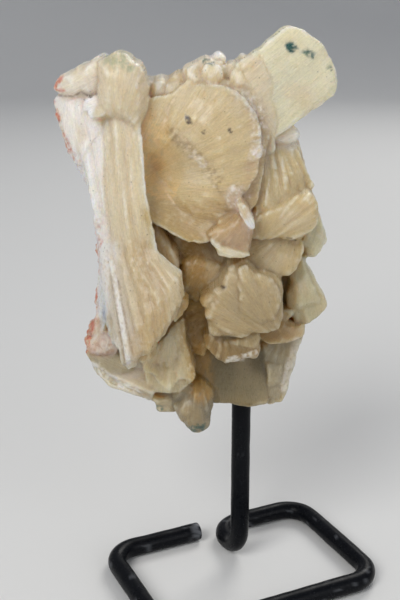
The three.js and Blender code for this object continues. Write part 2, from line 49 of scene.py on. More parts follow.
# The cluster has its own millimetre axes: x to the right across its front, y into it, z up, from the table
# under the post. It is turned on its post, so its meshes are taken to the frame's metres at the end.
stand = {
    "rodRadius": 3.175,
    "footWidth": 76,
    "footDepth": 51,
    "postFromRight": 34.8,  # the post's axis, from the centreline of the foot's right run
    "postFromFront": 32.6,  # and from the centreline of its front run
    "bendRadius": 9,
    "freeEnd": -7,  # where the free end stops on the back run, from the post's axis
    "postTop": 84,
    "sides": 32,
    "endChamfer": 0.45,
    "runStep": 1.5,
    "bendSteps": 12,
    "dent": 0.11,
    "dentSize": 5.5,
    "dentEdge": (-0.3, 0.9),
    "hammeredAt": (0, 8, 3),  # the rod's hook is dented more, round this place
    "hammeredReach": 9,
    "hammeredMore": 2.2,
    "wornReach": (1, 7),  # the paint is worn from the free end to these distances
    "wornSize": 1.6,
    "wornEdge": (0.0, 0.5),
    "spotSize": 2.2,
    "spotEdge": (0.75, 0.9),
    "spotShare": 0.25,
    "clusterTurn": math.radians(-25.2),
}
standLow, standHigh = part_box("bent_rod_stand")
postAxis = Vector((
    standHigh.x - (stand["rodRadius"] + stand["postFromRight"]) / 1000,
    standLow.y + (stand["rodRadius"] + stand["postFromFront"]) / 1000,
    0,
))
standToFrame = Matrix.Translation(postAxis) @ Matrix.Scale(0.001, 4)
clusterToFrame = standToFrame @ Matrix.Rotation(stand["clusterTurn"], 4, "Z")


def say(stage):
    print(f"{stage} ({time.time() - startTime:.0f} s)")


# The camera, where the photograph was taken from, in the cluster's axes
camera = {
    "place": (-13.7, -292.0, 188.0),
    "pitchDown": math.radians(17.6),
    "focalPixels": 957.0,
    "photoSize": (400, 600),
    "sensor": 36.0,
    "clip": (0.01, 20),
}


def makeCamera():
    data = bpy.data.cameras.new("photo_camera")
    data.sensor_width = camera["sensor"]
    data.lens = camera["focalPixels"] / max(camera["photoSize"]) * camera["sensor"]
    data.clip_start = camera["clip"][0]
    data.clip_end = camera["clip"][1]
    seat = bpy.data.objects.new("photo_camera", data)
    bpy.context.collection.objects.link(seat)
    seat.location = clusterToFrame @ Vector(camera["place"])
    seat.rotation_euler = (math.radians(90) - camera["pitchDown"], 0, stand["clusterTurn"])
    bpy.context.scene.camera = seat


# A pixel of the photograph at a known depth y, as x and z in the cluster's axes
def fromPhoto(u, v, y):
    right = (u - camera["photoSize"][0] / 2) / camera["focalPixels"]
    up = (camera["photoSize"][1] / 2 - v) / camera["focalPixels"]
    pitch = camera["pitchDown"]
    ahead = math.cos(pitch) + up * math.sin(pitch)
    rise = up * math.cos(pitch) - math.sin(pitch)
    cx, cy, cz = camera["place"]
    reach = (y - cy) / ahead
    return cx + reach * right, cz + reach * rise


# A point of the cluster as a pixel of the photograph
def toPhoto(points):
    x, y, z = (points - np.array(camera["place"])).T
    pitch = camera["pitchDown"]
    ahead = y * math.cos(pitch) - z * math.sin(pitch)
    rise = y * math.sin(pitch) + z * math.cos(pitch)
    u = camera["photoSize"][0] / 2 + camera["focalPixels"] * x / ahead
    v = camera["photoSize"][1] / 2 - camera["focalPixels"] * rise / ahead
    return np.column_stack([u, v])


makeCamera()
say("camera placed")


noiseCells = 32  # softNoise repeats after this many cells each way


# Smooth random numbers in [-1, 1], one for each row of points
def softNoise(points, size, seed):
    table = np.random.default_rng(seed).random((noiseCells, noiseCells, noiseCells))
    place = np.zeros((len(points), 3))
    place[:, : np.shape(points)[1]] = np.asarray(points) / size
    cell = np.floor(place).astype(int)
    part = place - cell
    part = part * part * (3 - 2 * part)
    total = np.zeros(len(place))
    for corner in itertools.product((0, 1), repeat=3):
        weight = np.ones(len(place))
        for k in range(3):
            weight *= part[:, k] if corner[k] else 1 - part[:, k]
        i = (cell + np.array(corner)) % noiseCells
        total += weight * table[i[:, 0], i[:, 1], i[:, 2]]
    return total * 2 - 1


def layeredNoise(points, size, seed, layers=3, fade=0.5):
    total, strength = 0, 1
    for layer in range(layers):
        total = total + strength * softNoise(points, size / 2**layer, seed + layer)
        strength *= fade
    return total


def smoothStep(low, high, value):
    t = np.clip((value - low) / (high - low), 0, 1)
    return t * t * (3 - 2 * t)


# A cubic through four values in a row
def blendFour(a, b, c, d, t):
    return 0.5 * (2 * b + (c - a) * t + (2 * a - 5 * b + 4 * c - d) * t**2 + (3 * b - a - 3 * c + d) * t**3)


# What every drawn crystal shares
form = {
    "outlineSteps": 14,  # between one pixel of an outline and the next
    "outlineRound": 0.3,  # 0 has straight sides, and 1 has a smooth curve through the pixels
    "edgeWave": 2.6,
    "edgeStep": 3.7,
    "edgeStepShare": 0.5,
    "backFull": 0.8,  # the share of its radius at which a crystal's back reaches its whole width
    "backRise": 0.6,
    "faceWave": 9.0,
    "facetScatter": 0.8,
    "facetSteep": (0.5, 1.6),
    "facetStart": (0.25, 0.85),
    "leastThick": 1,
    "sheetLength": 60,
    "tipWave": 3.0,
    "tipPower": 6,  # the higher, the nearer to its tips a sheet is ragged
    "tipReach": 1.02,
}


# A closed loop through the given points, with straight sides that are barely rounded at their corners
def closedLoop(points, steps):
    p = np.asarray(points, float)[:, None, :]
    t = (np.arange(steps) / steps)[None, :, None]
    curved = blendFour(np.roll(p, 1, 0), p, np.roll(p, -1, 0), np.roll(p, -2, 0), t)
    straight = p + (np.roll(p, -1, 0) - p) * t
    return (form["outlineRound"] * curved + (1 - form["outlineRound"]) * straight).reshape(-1, p.shape[2])


crystals = []  # each has its mesh, its colour, and how its fibres run


# Each crystal has its own random numbers
def crystalSeed():
    return len(crystals) * 17 + 5


def placeVerts(bm, places):
    for vert, place in zip(bm.verts, places):
        vert.co = place
    bmesh.ops.recalc_face_normals(bm, faces=bm.faces)


# A crystal with a swelling face. rim holds photograph pixels round its outline. front is the depth of its
# hub, and its rim lies proud millimetres deeper. up and side lean it, power rounds it over at its rim, and
# facets flat cuts of about that slope bevel it. grain is the pixel that its fibres open out from, or their
# slope in degrees.
def lobe(rim, front, back, hub=None, up=0, side=0, proud=2.5, power=5, bulge=0, ragged=0.3, wave=0.2,
         grain=90, tint="cream", sides=150, rings=40, ripple=0.3, terrace=0.1, facets=3, slope=0.45,
         bends=()):
    seed = crystalSeed()
    random = np.random.default_rng(seed)
    depth = front + proud
    flat = np.array([fromPhoto(u, v, depth) for u, v in rim])
    middle = flat.mean(0)
    centre = np.array(fromPhoto(*hub, depth)) if hub else middle
    away = closedLoop(flat, form["outlineSteps"]) - centre
    angle = np.arctan2(away[:, 1], away[:, 0])
    order = np.argsort(angle)
    bm = bmesh.new()
    bmesh.ops.create_uvsphere(bm, u_segments=sides, v_segments=rings, radius=1)
    ball = np.array([vert.co for vert in bm.verts])
    facing = ball[:, 2] >= 0
    turn = np.arctan2(ball[:, 1], ball[:, 0])
    heading = np.column_stack([np.cos(turn), np.sin(turn)])
    out = np.interp(turn, angle[order], np.hypot(*away.T)[order], period=2 * math.pi)
    out = out + ragged * layeredNoise(heading * out.mean(), form["edgeWave"], seed, 3)
    steps = np.sign(softNoise(heading * out.mean(), form["edgeStep"], seed + 9))
    out = out + form["edgeStepShare"] * ragged * steps
    r = np.hypot(ball[:, 0], ball[:, 1])
    share = np.where(facing, r, np.minimum(1, r / form["backFull"]))
    place = centre + heading * (out * share)[:, None]
    lean = up * (place[:, 1] - middle[1]) + side * (place[:, 0] - middle[0])
    deeper = np.minimum(1, -ball[:, 2] / form["backRise"])
    y = np.where(
        facing,
        front + proud * r**power - bulge * np.sin(math.pi * r) * out / out.max() + lean,
        depth + lean + (back - depth - lean) * deeper,
    )
    for acrossSlope, upSlope, reach in bends:
        cut = (place - middle) @ (acrossSlope, upSlope) + reach
        y = y + np.maximum(0, cut) * facing * (1 - r**2)
    y = y + wave * layeredNoise(place, form["faceWave"], seed + 3, 2) * facing
    for number in range(facets):
        way = math.radians(360 * (number + random.uniform(0, form["facetScatter"])) / facets)
        steep = slope * random.uniform(*form["facetSteep"])
        start = out.mean() * random.uniform(*form["facetStart"])
        cut = (place - middle) @ (math.cos(way), math.sin(way)) - start
        flatCut = np.minimum(front + lean + steep * cut, back - form["leastThick"])
        y = np.where(cut > 0, np.maximum(y, flatCut), y)
    placeVerts(bm, np.column_stack([place[:, 0], y, place[:, 1]]))
    root = fromPhoto(*grain, depth) if isinstance(grain, tuple) else None
    crystals.append({"mesh": bm, "root": root, "slope": grain, "tint": tint, "ripple": ripple,
                     "terrace": terrace})


# A sheet of long fibres, thick millimetres through. rows hold photograph pixels with their depths, each row
# from right to left, and the rows run from the root to the tips.
def sheet(rows, thick, ragged=0.8, tint="cream", ripple=0.4, terrace=0.1, across=100, along=120):
    seed = crystalSeed()
    bm = bmesh.new()
    bmesh.ops.create_grid(bm, x_segments=along, y_segments=across, size=1)
    grid = (np.array([vert.co for vert in bm.verts])[:, :2] + 1) / 2
    u, v = grid.T
    spread = []
    for row in rows:
        points = np.array([(*fromPhoto(a, b, y), y) for a, b, y in row])[:, (0, 2, 1)]
        step = np.r_[0, np.cumsum(np.linalg.norm(np.diff(points, axis=0), axis=1))]
        spread.append(np.column_stack([np.interp(v, step / step[-1], points[:, k]) for k in range(3)]))
    spread = np.array(spread)
    last = len(rows) - 1
    length = form["sheetLength"]
    fray = ragged / length * layeredNoise(v[:, None] * length, form["tipWave"], seed, 3)
    spot = np.clip(u + fray * u ** form["tipPower"], 0, form["tipReach"]) * last
    i = np.clip(np.floor(spot).astype(int), 0, last - 1)
    each = np.arange(len(u))
    four = (spread[np.clip(i + k, 0, last), each] for k in (-1, 0, 1, 2))
    places = blendFour(*four, (spot - i)[:, None])
    placeVerts(bm, places)
    if sum(face.normal.y for face in bm.faces) > 0:
        bmesh.ops.reverse_faces(bm, faces=bm.faces)
    bmesh.ops.solidify(bm, geom=bm.faces[:], thickness=thick)
    bmesh.ops.recalc_face_normals(bm, faces=bm.faces)
    ends = np.array([[(*fromPhoto(*row[k][:2], row[k][2]),) for row in rows] for k in (0, -1)])
    crystals.append({"mesh": bm, "root": None, "slope": None, "edges": ends, "tint": tint, "ripple": ripple,
                     "terrace": terrace})


# The long golden sheet at the left with its fanned foot, and the paler fibres down its left side
column = {
    "flank": {
        "rows": [
            [(104, 110, -13), (84, 106, -9), (64, 104, -1)],
            [(105, 140, -16), (86, 140, -11), (64, 140, -1)],
            [(107, 182, -17), (95, 180, -12), (82, 176, -1)],
            [(112, 226, -19), (106, 224, -13), (100, 218, -1)],
            [(118, 270, -22), (108, 266, -15), (98, 262, -1)],
            [(126, 318, -25.5), (114, 314, -19), (98, 306, -1)],
            [(133, 358, -28), (124, 350, -24), (110, 336, -12)],
        ],
        "thick": 7, "ragged": 1.2, "tint": "white", "ripple": 0.75,
    },
    "front": {
        "rows": [
            [(139, 124, -14), (128, 114, -17), (114, 108, -17), (100, 104, -12)],
            [(142, 146, -15.5), (130, 142, -20), (116, 140, -20), (104, 140, -15)],
            [(143.5, 180, -16), (133, 180, -21), (119, 181, -21.5), (106, 182, -16)],
            [(147, 222, -18), (137, 223, -23.5), (124, 224, -24), (110, 226, -18)],
            [(157, 257, -23), (147, 262, -28), (132, 266, -28.5), (115, 270, -21)],
            [(174, 289, -28.5), (162, 300, -32.5), (146, 312, -33.5), (122, 318, -24.5)],
            [(178, 306, -30.5), (177, 316, -31), (169, 328, -31.5), (162, 338, -32), (156, 342, -32),
             (151, 352, -31.5), (147, 360, -31), (140, 362, -30), (132, 358, -28)],
        ],
        "thick": 6, "ragged": 0.7, "tint": "cream", "ripple": 0.22,
    },
    "lath": {
        "rows": [
            [(113, 246, -23.5), (108.5, 248, -19.5)],
            [(117.5, 280, -27), (111.5, 282, -22.5)],
            [(123, 313, -30.5), (115, 316, -25)],
            [(128.5, 340, -33), (119.5, 343, -27)],
            [(133, 357, -32.5), (130.5, 366, -31), (128.5, 370, -30), (126, 368, -29), (123.5, 356, -28)],
        ],
        "thick": 3.0, "ragged": 0.15, "tint": "white", "ripple": 0.2, "across": 24,
    },
    "rib": {
        "rows": [
            [(107.5, 222, -19), (103.5, 224, -15.5)],
            [(111, 262, -21.5), (105.5, 264, -17)],
            [(114, 300, -23.5), (108, 303, -19)],
            [(118, 326, -25.5), (112, 329, -21)],
        ],
        "thick": 2.6, "ragged": 0.3, "tint": "white", "ripple": 0.2, "across": 24,
    },
    "tab": {
        "rim": [(168, 288), (175, 293), (182, 298), (188.4, 303.3), (187, 308), (185, 311.5), (181, 316.5),
                (174, 322), (168, 308)],
        "front": -28.4, "back": -20, "up": 0.1, "side": 0.1, "proud": 0.8, "power": 8, "grain": (150, 262),
        "tint": "gold",
    },
}

# The lobes over the column's head, with a crack between the left one and the flank
crown = {
    "lower": {
        "rim": [(52.5, 97), (62, 98), (72, 98.5), (80, 97), (88, 103), (98, 110), (108, 122), (104, 150),
                (90, 165), (80, 166), (74, 157), (68, 149), (63, 141), (60, 128), (56, 117), (53, 107)],
        "front": -12.5, "back": 8, "hub": (80, 125), "side": -0.42, "proud": 2.5, "power": 4,
        "grain": (70, 60), "tint": "white", "ripple": 0.4,
    },
    "left": {
        "rim": [(57, 82), (60, 77), (64, 75.5), (72, 71), (78, 67), (84, 65), (88, 63), (93, 59),
                (98, 56.5), (103, 60), (104, 74), (102, 90), (97, 94), (90, 95), (83, 93), (81, 92),
                (74, 96), (66, 95), (58, 93.5), (54, 89)],
        "front": -14, "back": 10, "hub": (82, 80), "up": 0.12, "side": -0.25, "proud": 3.5, "power": 4,
        "grain": 30, "tint": "chalk", "ripple": 0.2, "terrace": 0.3, "facets": 5, "slope": 0.3,
    },
    "edge": {
        "rim": [(62, 78), (68, 74), (74, 72), (80, 76), (78, 84), (70, 91), (62, 90), (57, 86)],
        "front": -12, "back": 6, "up": 0.1, "side": -0.2, "proud": 1.5, "power": 6, "grain": 40,
        "tint": "white", "facets": 5, "slope": 0.5,
    },
    "lobe": {
        "rim": [(98, 64), (104, 58.5), (110, 55), (116, 53.5), (122, 54), (128, 56), (135, 60),
                (139.5, 62.5), (142.5, 68), (145, 75), (147, 84), (148, 96), (148, 107), (146, 115),
                (142.5, 124), (136, 130), (128, 125), (115, 119), (108, 117), (100, 114), (98, 104),
                (98, 84)],
        "front": -20, "back": -2, "up": 0.12, "proud": 5, "power": 4, "grain": (118, 138), "tint": "cream",
        "ripple": 0.26, "facets": 6, "slope": 0.35,
    },
    "flake": {
        "rim": [(84, 104), (88, 99), (94, 97), (100, 97), (104, 103), (102, 111), (96, 113), (88, 112),
                (84, 109)],
        "front": -16.8, "back": -6, "proud": 1.2, "tint": "white", "grain": 20,
    },
}

# The large fan, whose fibres open out from a point deep beside the column
fan = {
    "face": {
        "rim": [(124, 150), (128, 120), (142, 104), (152, 99), (164, 98), (172, 94), (180, 87), (188, 81),
                (198, 78), (210, 77.5), (224, 80), (236, 84), (246, 90), (256, 98), (262, 104), (266, 112),
                (268, 122), (269, 135), (267, 148), (264, 160), (262, 175), (260, 190), (256, 202),
                (250, 208), (243, 209), (238, 212), (234, 219), (226, 223), (216, 231), (208, 237),
                (199, 239), (190, 237.5), (178, 232), (166, 226), (156, 220), (146, 212), (130, 200),
                (122, 180)],
        "front": -9.5, "back": 3, "hub": (152, 170), "proud": -6.5, "power": 1.2, "bulge": 4.5, "up": 0.25,
        "side": 0.08, "ragged": 0.3, "wave": 0.25, "grain": (122, 196), "tint": "gold", "ripple": 0.26,
        "sides": 260, "terrace": 0.04, "facets": 0, "bends": [(-0.12, -0.34, -1.5), (0.16, 0.1, -1.5)],
    },
    "rim": {
        "rim": [(238, 84), (248, 90), (257, 98), (264, 106), (268, 118), (269.5, 132), (268, 148),
                (264.5, 162), (260, 178), (256, 192), (250, 200), (247, 188), (250, 168), (254, 150),
                (254, 132), (250, 114), (244, 100)],
        "front": -13.5, "back": 0, "up": 0.2, "side": 0.12, "proud": 0.6, "power": 10, "ragged": 0.5,
        "grain": (122, 196), "tint": "rose", "ripple": 0.5, "facets": 5, "slope": 0.25,
    },
    "cheek": {
        "rim": [(150, 219), (157, 221), (163, 231), (169, 243), (176, 251), (179.5, 261), (178, 271),
                (172, 274), (164, 270), (156, 262), (151, 246), (149, 232)],
        "front": -18.2, "back": -2, "up": 0.1, "side": -0.2, "proud": 2.4, "power": 4, "grain": (152, 208),
        "tint": "tan", "facets": 1, "slope": 0.1,
    },
}

# The square-edged crystal that points up to the right, and the chip under it
topBlock = {
    "face": {
        "rim": [(236, 66), (251, 55), (262, 47), (270, 40), (278, 33), (283, 29), (288, 27), (294, 27.2),
                (300, 29.3), (306, 31), (313, 35.5), (320, 41), (327, 50), (333, 60), (337, 72), (339, 82),
                (337.5, 90), (334, 95), (325, 102), (315, 109), (305, 115), (297, 121), (288, 128),
                (278, 134), (268, 138), (256, 120), (244, 95)],
        "front": -11, "back": 0, "hub": (285, 85), "up": 0.1, "side": 0.1, "proud": 1.6, "power": 7,
        "ragged": 0.2, "wave": 0.3, "grain": 38, "tint": "pale", "ripple": 0.26, "terrace": 0.12,
        "sides": 220, "facets": 5, "slope": 0.2,
    },
    "left": {
        "rim": [(240, 62), (251, 55), (258, 52), (268, 60), (278, 78), (284, 100), (282, 118), (272, 130),
                (262, 124), (250, 96), (240, 78)],
        "front": -12.4, "back": -3, "hub": (262, 90), "up": 0.1, "side": 0.14, "proud": 1.8, "power": 5,
        "grain": 38, "tint": "cream", "ripple": 0.25, "facets": 2, "slope": 0.15,
    },
    "neck": {
        "rim": [(246, 92), (256, 84), (268, 96), (278, 110), (280, 124), (274, 138), (276, 150),
                (268, 156), (262, 140), (258, 116)],
        "front": -12.6, "back": -3, "up": 0.1, "side": 0.2, "proud": 1.6, "power": 5, "grain": -60,
        "tint": "cream", "ripple": 0.3, "facets": 3, "slope": 0.2,
    },
    "chip": {
        "rim": [(268, 138), (278, 134), (288, 127), (294, 125.5), (297, 128.5), (300, 132), (301, 135.5),
                (299.5, 138.5), (296, 141), (292, 142.5), (284, 143.5), (274, 142)],
        "front": -9.3, "back": 1, "up": -0.2, "side": 0.1, "proud": 1.2, "tint": "chalk", "grain": 20,
        "ragged": 0.2,
    },
}

# Small crystals along the top edge behind the fan
crestBit = {
    "back": -2, "up": 0.3, "proud": 1, "power": 7, "grain": 70, "tint": "cream", "facets": 6, "slope": 0.8,
    "sides": 70, "rings": 24,
}
crest = {
    "saddle": {
        "rim": [(144, 104), (144, 82), (149, 80), (152, 82), (156, 80), (160, 78.4), (165, 79), (170, 79),
                (175, 82), (180, 88), (176, 104), (160, 112)],
        "front": -7, "back": 9, "up": 0.2, "proud": 2, "grain": (160, 130), "tint": "cream",
        "terrace": 0.3,
    },
    "step": {
        "rim": [(163, 96), (167, 84), (172, 77), (176, 74), (181, 74.3), (186, 76), (190, 90), (182, 100),
                (170, 104)],
        "front": -8.5, "back": 8, "up": 0.2, "proud": 2, "grain": 60, "tint": "tan", "terrace": 0.3,
    },
    "block": {
        "rim": [(184, 84), (184, 70), (187, 67.3), (191, 66), (196, 64), (200.5, 59.5), (204, 58),
                (208, 57.5), (212, 59), (216, 61), (222, 63), (228, 70), (232, 82), (222, 92), (200, 92)],
        "front": -9, "back": 8, "up": 0.25, "proud": 2, "grain": 80, "tint": "cream", "terrace": 0.3,
        "ragged": 0.35, "facets": 5,
    },
    "peak": {
        "rim": [(210, 62), (213, 58), (216, 55), (219.5, 53.5), (223, 55.3), (224.3, 59), (222.5, 66),
                (214, 68)],
        "front": -6, "back": 4, "up": 0.1, "proud": 1, "grain": 80, "tint": "white", "ragged": 0.3,
        "terrace": 0.3, "facets": 5, "slope": 0.4,
    },
    "shoulder": {
        "rim": [(226, 70), (228, 68.6), (231, 65), (234, 63), (239, 61), (242, 58), (246, 58.3), (249, 57),
                (253, 55), (264, 70), (268, 86), (262, 96), (248, 96), (236, 88), (228, 82)],
        "front": -9, "back": 7, "up": 0.25, "proud": 2, "grain": 50, "tint": "cream", "terrace": 0.3,
        "ragged": 0.5, "facets": 6,
    },
    "bitLeft": {
        "rim": [(186, 80), (188, 70), (196, 66), (201, 72), (198, 84), (190, 88)],
        "front": -11.4, **crestBit,
    },
    "bitMiddle": {
        "rim": [(202, 76), (204, 65), (212, 62), (220, 66), (222, 78), (212, 84)],
        "front": -12.2, **crestBit,
    },
    "bitRight": {
        "rim": [(230, 84), (232, 72), (243, 64), (256, 64), (262, 76), (258, 92), (244, 94)],
        "front": -12.4, **crestBit,
    },
    "bitSaddle": {
        "rim": [(164, 92), (170, 82), (178, 80), (182, 88), (176, 98), (168, 100)],
        "front": -10.4, **crestBit,
    },
    "bitEnd": {
        "rim": [(150, 98), (152, 86), (160, 82), (168, 86), (168, 98), (158, 104)],
        "front": -9.4, **crestBit,
    },
}

# The hanging sheet at the right, and the blocks that overlap it
right = {
    "sheaf": {
        "rows": [
            [(289, 141, -2), (277, 141, -7), (266, 142, -10)],
            [(295, 158, -1), (280, 160, -9), (262, 160, -12.5)],
            [(301, 176, 0), (284, 180, -10.5), (260, 178, -14.5)],
            [(308, 192, 0), (302, 197, -7), (294, 200, -10), (284, 206, -13), (272, 213, -15),
             (256, 216, -17)],
        ],
        "thick": 8, "ragged": 1.2, "tint": "gold", "ripple": 0.7, "across": 60, "along": 70,
    },
    "outer": {
        "rim": [(310, 220), (319.5, 214), (322, 222), (325.7, 233), (327, 240), (325.7, 245), (321, 251.5),
                (317.7, 252), (316, 256), (311, 256), (307, 254.5), (302, 246), (298, 240), (304, 232)],
        "front": -7, "back": 5, "up": 0.05, "side": 0.15, "proud": 2, "grain": 70, "tint": "pale",
        "ragged": 0.35,
    },
    "lower": {
        "rim": [(246, 254), (250, 242), (262, 237), (276, 237), (290, 238), (299, 242), (303, 250),
                (301, 258), (297, 268), (289, 275), (278, 276), (268, 275), (257, 271), (249, 264)],
        "front": -16.5, "back": 4, "up": 0.22, "side": 0.12, "proud": 1.6, "power": 9, "grain": (300, 225),
        "tint": "gold", "facets": 4, "slope": 0.35,
    },
    "upper": {
        "rim": [(252, 224), (262, 213), (272, 208), (284, 203), (291, 199), (298, 196), (306, 194),
                (312, 194.5), (317, 199), (320, 206), (320, 214), (318.5, 223), (314, 231), (306, 235),
                (298, 239), (288, 238), (274, 237), (260, 238), (252, 236)],
        "front": -17, "back": 4, "up": 0.14, "side": 0.2, "proud": 1.6, "power": 9, "grain": (254, 244),
        "tint": "gold", "facets": 4, "slope": 0.35,
    },
    "pale": {
        "rim": [(289, 274), (294, 266), (301.6, 258), (305, 257), (308, 266), (313, 274), (318, 284),
                (323, 293), (327.5, 303), (326, 309), (322, 313), (317, 315.5), (312, 320), (304, 324.3),
                (297, 321.6), (292, 313), (288, 304.6), (287, 295), (291, 284)],
        "front": -10, "back": 1, "up": 0.12, "side": 0.12, "proud": 2, "grain": (298, 246), "tint": "pale",
        "ragged": 0.3,
    },
    "paleStep": {
        "rim": [(297, 272), (303, 266), (309, 276), (315, 287), (320, 298), (317, 308), (308, 315),
                (300, 316), (294, 304), (293, 288)],
        "front": -11, "back": -3, "up": 0.12, "side": 0.12, "proud": 1.2, "grain": (298, 246),
        "tint": "pale", "ragged": 0.3,
    },
}

# The knot of overlapping plates under the fan
knot = {
    "wall": {
        "rim": [(168, 226), (190, 232), (214, 236), (240, 244), (262, 262), (268, 290), (250, 320),
                (225, 330), (205, 320), (190, 330), (178, 310), (170, 280), (166, 250)],
        "front": -11.5, "back": 6, "up": -0.05, "side": 0.05, "proud": 2, "power": 4, "grain": (230, 300),
        "tint": "tan", "wave": 0.5, "facets": 5, "slope": 0.3,
    },
    "ledge": {
        "rim": [(182, 262), (196, 256), (210, 260), (222, 266), (216, 280), (206, 292), (196, 300),
                (186, 296), (180, 280)],
        "front": -14.5, "back": 0, "up": 0.15, "side": -0.1, "proud": 1.6, "power": 6, "grain": 60,
        "tint": "tan", "facets": 4, "slope": 0.3,
    },
    "gully": {
        "rim": [(180, 318), (186, 300), (196, 292), (206, 300), (209, 325), (208, 345), (204, 358),
                (196, 356), (189, 345), (184, 330)],
        "front": -13.5, "back": 2, "up": -0.1, "proud": 1.6, "grain": (230, 300), "tint": "amber",
        "facets": 4, "slope": 0.3,
    },
    "shelf": {
        "rim": [(258, 330), (272, 326), (284, 321), (293, 324), (300, 327), (305, 325), (304.5, 335),
                (296, 340), (284, 342), (270, 344), (260, 340)],
        "front": -14.5, "back": 2, "up": 0.2, "side": 0.1, "proud": 2, "grain": 60, "tint": "tan",
    },
    "hem": {
        "rim": [(204, 338), (209, 333), (222, 334), (240, 336), (256, 338), (260, 348), (256, 358),
                (248.6, 357.4), (243, 361), (238, 362.5), (228, 362.5), (221, 359), (215, 355),
                (206, 346.4)],
        "front": -22.5, "back": -4, "hub": (232, 345), "up": 0.1, "proud": 2, "grain": (230, 300),
        "tint": "hem", "ragged": 0.4,
    },
    "side": {
        "rim": [(226, 343), (236, 336), (246, 331), (259.6, 333), (262, 340), (258.8, 346.6), (250, 346),
                (240, 345)],
        "front": -23, "back": -5, "up": 0.15, "side": 0.12, "proud": 1.6, "grain": (240, 300),
        "tint": "low", "ragged": 0.5,
    },
    "main": {
        "rim": [(212, 289.5), (220.4, 284), (225, 276), (230, 269), (236, 265), (241, 263.5), (247, 264),
                (256, 271.5), (265, 275), (275, 276), (279, 281), (283, 287), (284.5, 299), (282.5, 308),
                (281, 317), (279, 324.3), (272, 329.6), (264, 330.5), (255, 329), (240, 335), (225, 331),
                (214, 322), (206, 312)],
        "front": -24.5, "back": -3, "up": 0.22, "side": 0.18, "proud": 2, "power": 9, "grain": (285, 345),
        "tint": "low", "wave": 0.2, "ragged": 0.4, "facets": 3, "slope": 0.2,
    },
    "panel": {
        "rim": [(238, 270), (247, 267), (256, 275), (272, 280), (279, 290), (280, 304), (276, 316),
                (262, 322), (248, 316), (240, 300)],
        "front": -25, "back": -12, "up": 0.2, "side": 0.16, "proud": 0.7, "power": 9, "grain": (285, 345),
        "tint": "low", "ragged": 0.4, "facets": 2, "slope": 0.15,
    },
    "front": {
        "rim": [(200.7, 300), (206, 295), (213, 291), (222, 291), (230, 296), (236, 306), (240, 318),
                (240, 330), (233, 335), (220, 336), (209, 334), (206, 321.6), (209, 314), (210.5, 309),
                (204, 306)],
        "front": -25.8, "back": -5, "up": 0.12, "side": 0.05, "proud": 2, "power": 7, "grain": (240, 280),
        "tint": "low", "ragged": 0.4, "facets": 3, "slope": 0.2,
    },
    "brow": {
        "rim": [(209, 236), (213, 231), (222, 225), (230, 219), (240, 212), (247, 218), (252.5, 228),
                (252, 237), (251, 246), (249, 255.5), (243.6, 256.4), (232, 256), (224, 255.5),
                (216.8, 247.5)],
        "front": -26, "back": -6, "up": -0.05, "side": 0.12, "proud": 2, "power": 6, "grain": (250, 205),
        "tint": "rose", "ragged": 0.3, "facets": 2, "slope": 0.2,
    },
    "lip": {
        "rim": [(210, 239), (215, 240), (222, 246), (232, 249), (243, 252), (249, 255), (243, 257.5),
                (230, 258), (218, 255), (216, 249), (211, 243)],
        "front": -27.4, "back": -12, "up": 0.15, "side": 0.05, "proud": 1.2, "grain": -20, "tint": "cream",
        "ragged": 0.3,
    },
    "shard": {
        "rim": [(236.5, 203.5), (241, 201.5), (246, 205), (250.5, 212), (254, 221), (255.5, 229),
                (252, 231), (246, 225), (240, 214)],
        "front": -27.6, "back": -12, "up": -0.1, "side": 0.3, "proud": 0.5, "power": 12, "grain": -62,
        "tint": "white", "ragged": 0.1, "facets": 1, "slope": 0.2,
    },
}

